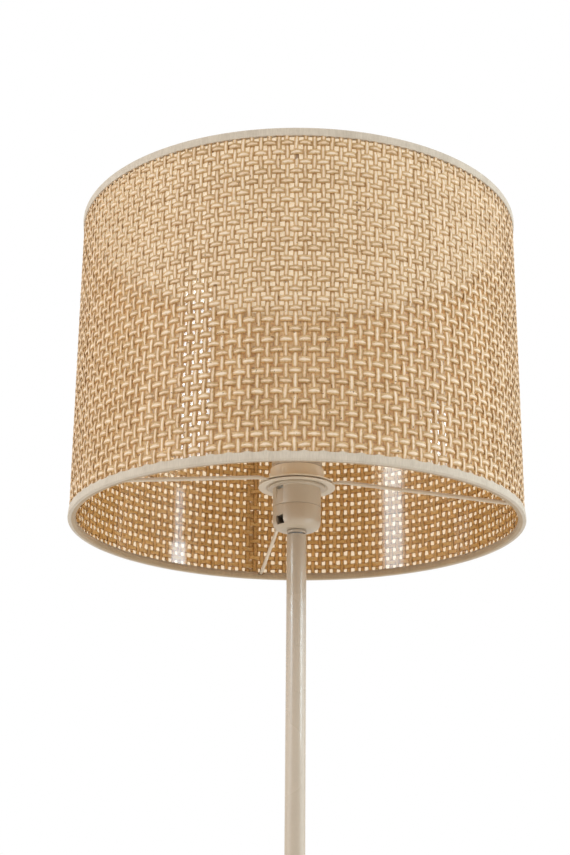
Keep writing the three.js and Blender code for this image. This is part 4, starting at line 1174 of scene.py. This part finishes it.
def add_foot_collar():
    """The trim ring round the foot of the pole."""
    bottom, top = heights("pole_foot_collar")
    foot = outer_radius("pole_foot_collar")
    neck = COLLAR_BORE + COLLAR_WALL
    corners = [
        (COLLAR_BORE, bottom, CRISP),
        (foot, bottom, FINE),
        (foot, bottom + COLLAR_WALL, COLLAR_EDGE),
        (neck, bottom + COLLAR_WALL, COLLAR_SWEEP),
        (neck, top, COLLAR_EDGE),
        (COLLAR_BORE, top, FINE),
    ]
    made = turned("pole_foot_collar_smooth", rounded(corners), POLE_FACETS)
    piece(made, "stand", "cream_metal", "pole_foot_collar")


def set_in_rear_wall(made):
    """Moves what was turned about the Z axis to the gland's place in the cover's rear wall."""
    place = Matrix.Translation((0, COVER_RADIUS, (GLAND_LOW.z + GLAND_HIGH.z) / 2))
    made.data.transform(place @ Matrix.Rotation(-math.pi / 2, 4, "X"))
    return made


def add_base_cover():
    """The pressed cover, with a hole for the gland."""
    bottom, top = heights("base_cover")
    inner = COVER_RADIUS - COVER_THICKNESS
    under = top - COVER_THICKNESS
    corners = [
        (inner, bottom, FINE),
        (COVER_RADIUS, bottom, SOFT),
        (COVER_RADIUS, top, COVER_CORNER),
        (ROD_HOLE, top, FINE),
        (ROD_HOLE, under, FINE),
        (inner, under, COVER_CORNER - COVER_THICKNESS),
    ]
    cover = turned("base_cover_smooth", rounded(corners), BASE_FACETS)
    outline = tube(TINY, GLAND_HOLE, -GLAND_HOLE_HALF, GLAND_HOLE_HALF)
    hole = set_in_rear_wall(turned("cutter", outline, GLAND_HOLE_FACETS))
    piece(carve(cover, [hole]), "stand", "cream_metal", "base_cover")


def add_gland():
    """The gland, which grips the cover's wall in a groove."""
    flange = (GLAND_HIGH.z - GLAND_LOW.z) / 2
    inside, outside = GLAND_LOW.y - COVER_RADIUS, GLAND_HIGH.y - COVER_RADIUS
    groove_start, groove_end = GLAND_GROOVE
    small_edge, large_edge = GLAND_EDGES
    corners = [
        (GLAND_BORE, inside, CRISP),
        (flange, inside, FINE),
        (flange, groove_start, CRISP),
        (GLAND_NECK, groove_start, 0),
        (GLAND_NECK, groove_end, 0),
        (flange, groove_end, small_edge),
        (GLAND_NECK, outside, large_edge),
        (GLAND_BORE, outside, small_edge),
    ]
    gland = set_in_rear_wall(turned("cable_gland_smooth", rounded(corners), SMALL_FACETS))
    piece(gland, "stand", "black_plastic", "cable_gland")


def add_feet():
    """The four rubber feet."""
    for number in (1, 2, 3, 4):
        node = f"rubber_foot_{number}"
        foot_low, foot_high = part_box(node)
        middle = (foot_low + foot_high) / 2
        radius = (foot_high.x - foot_low.x) / 2
        corners = [
            (FOOT_HOLE, foot_low.z + FOOT_DIMPLE, FINE),
            (FOOT_HOLE + FOOT_TAPER, foot_low.z, FINE),
            (radius - FOOT_TAPER, foot_low.z, SOFT),
            (radius, foot_high.z, FINE),
            (FOOT_HOLE, foot_high.z, CRISP / 2),
        ]
        foot = turned(f"rubber_foot_smooth_{number}", rounded(corners), SMALL_FACETS)
        foot.data.transform(Matrix.Translation((middle.x, middle.y, 0)))
        piece(foot, "stand", "rubber", node)


def dress_kept_nodes():
    """Gives the nodes that stay as packed their finishes."""
    for finish, nodes in KEPT_FINISHES.items():
        for node in nodes:
            dress(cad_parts[node], finish)


def build():
    """The setting, then the lamp from its shade down to its feet."""
    add_camera()
    add_world()
    for name, box in SOFT_BOXES.items():
        add_soft_box(name, *box)
    for name, strip in STRIPS.items():
        add_strip(name, *strip)
    make_materials()
    add_floor()
    dress_kept_nodes()
    add_weave()
    add_liner()
    add_tapes()
    add_spider()
    add_dome()
    add_shell()
    add_clamp_ring()
    add_contact_block()
    add_screw_sleeve()
    add_locknut()
    add_pole_tubes()
    add_couplers()
    add_foot_collar()
    add_base_cover()
    add_gland()
    add_feet()


build()
bpy.context.scene.view_settings.view_transform = "Standard"
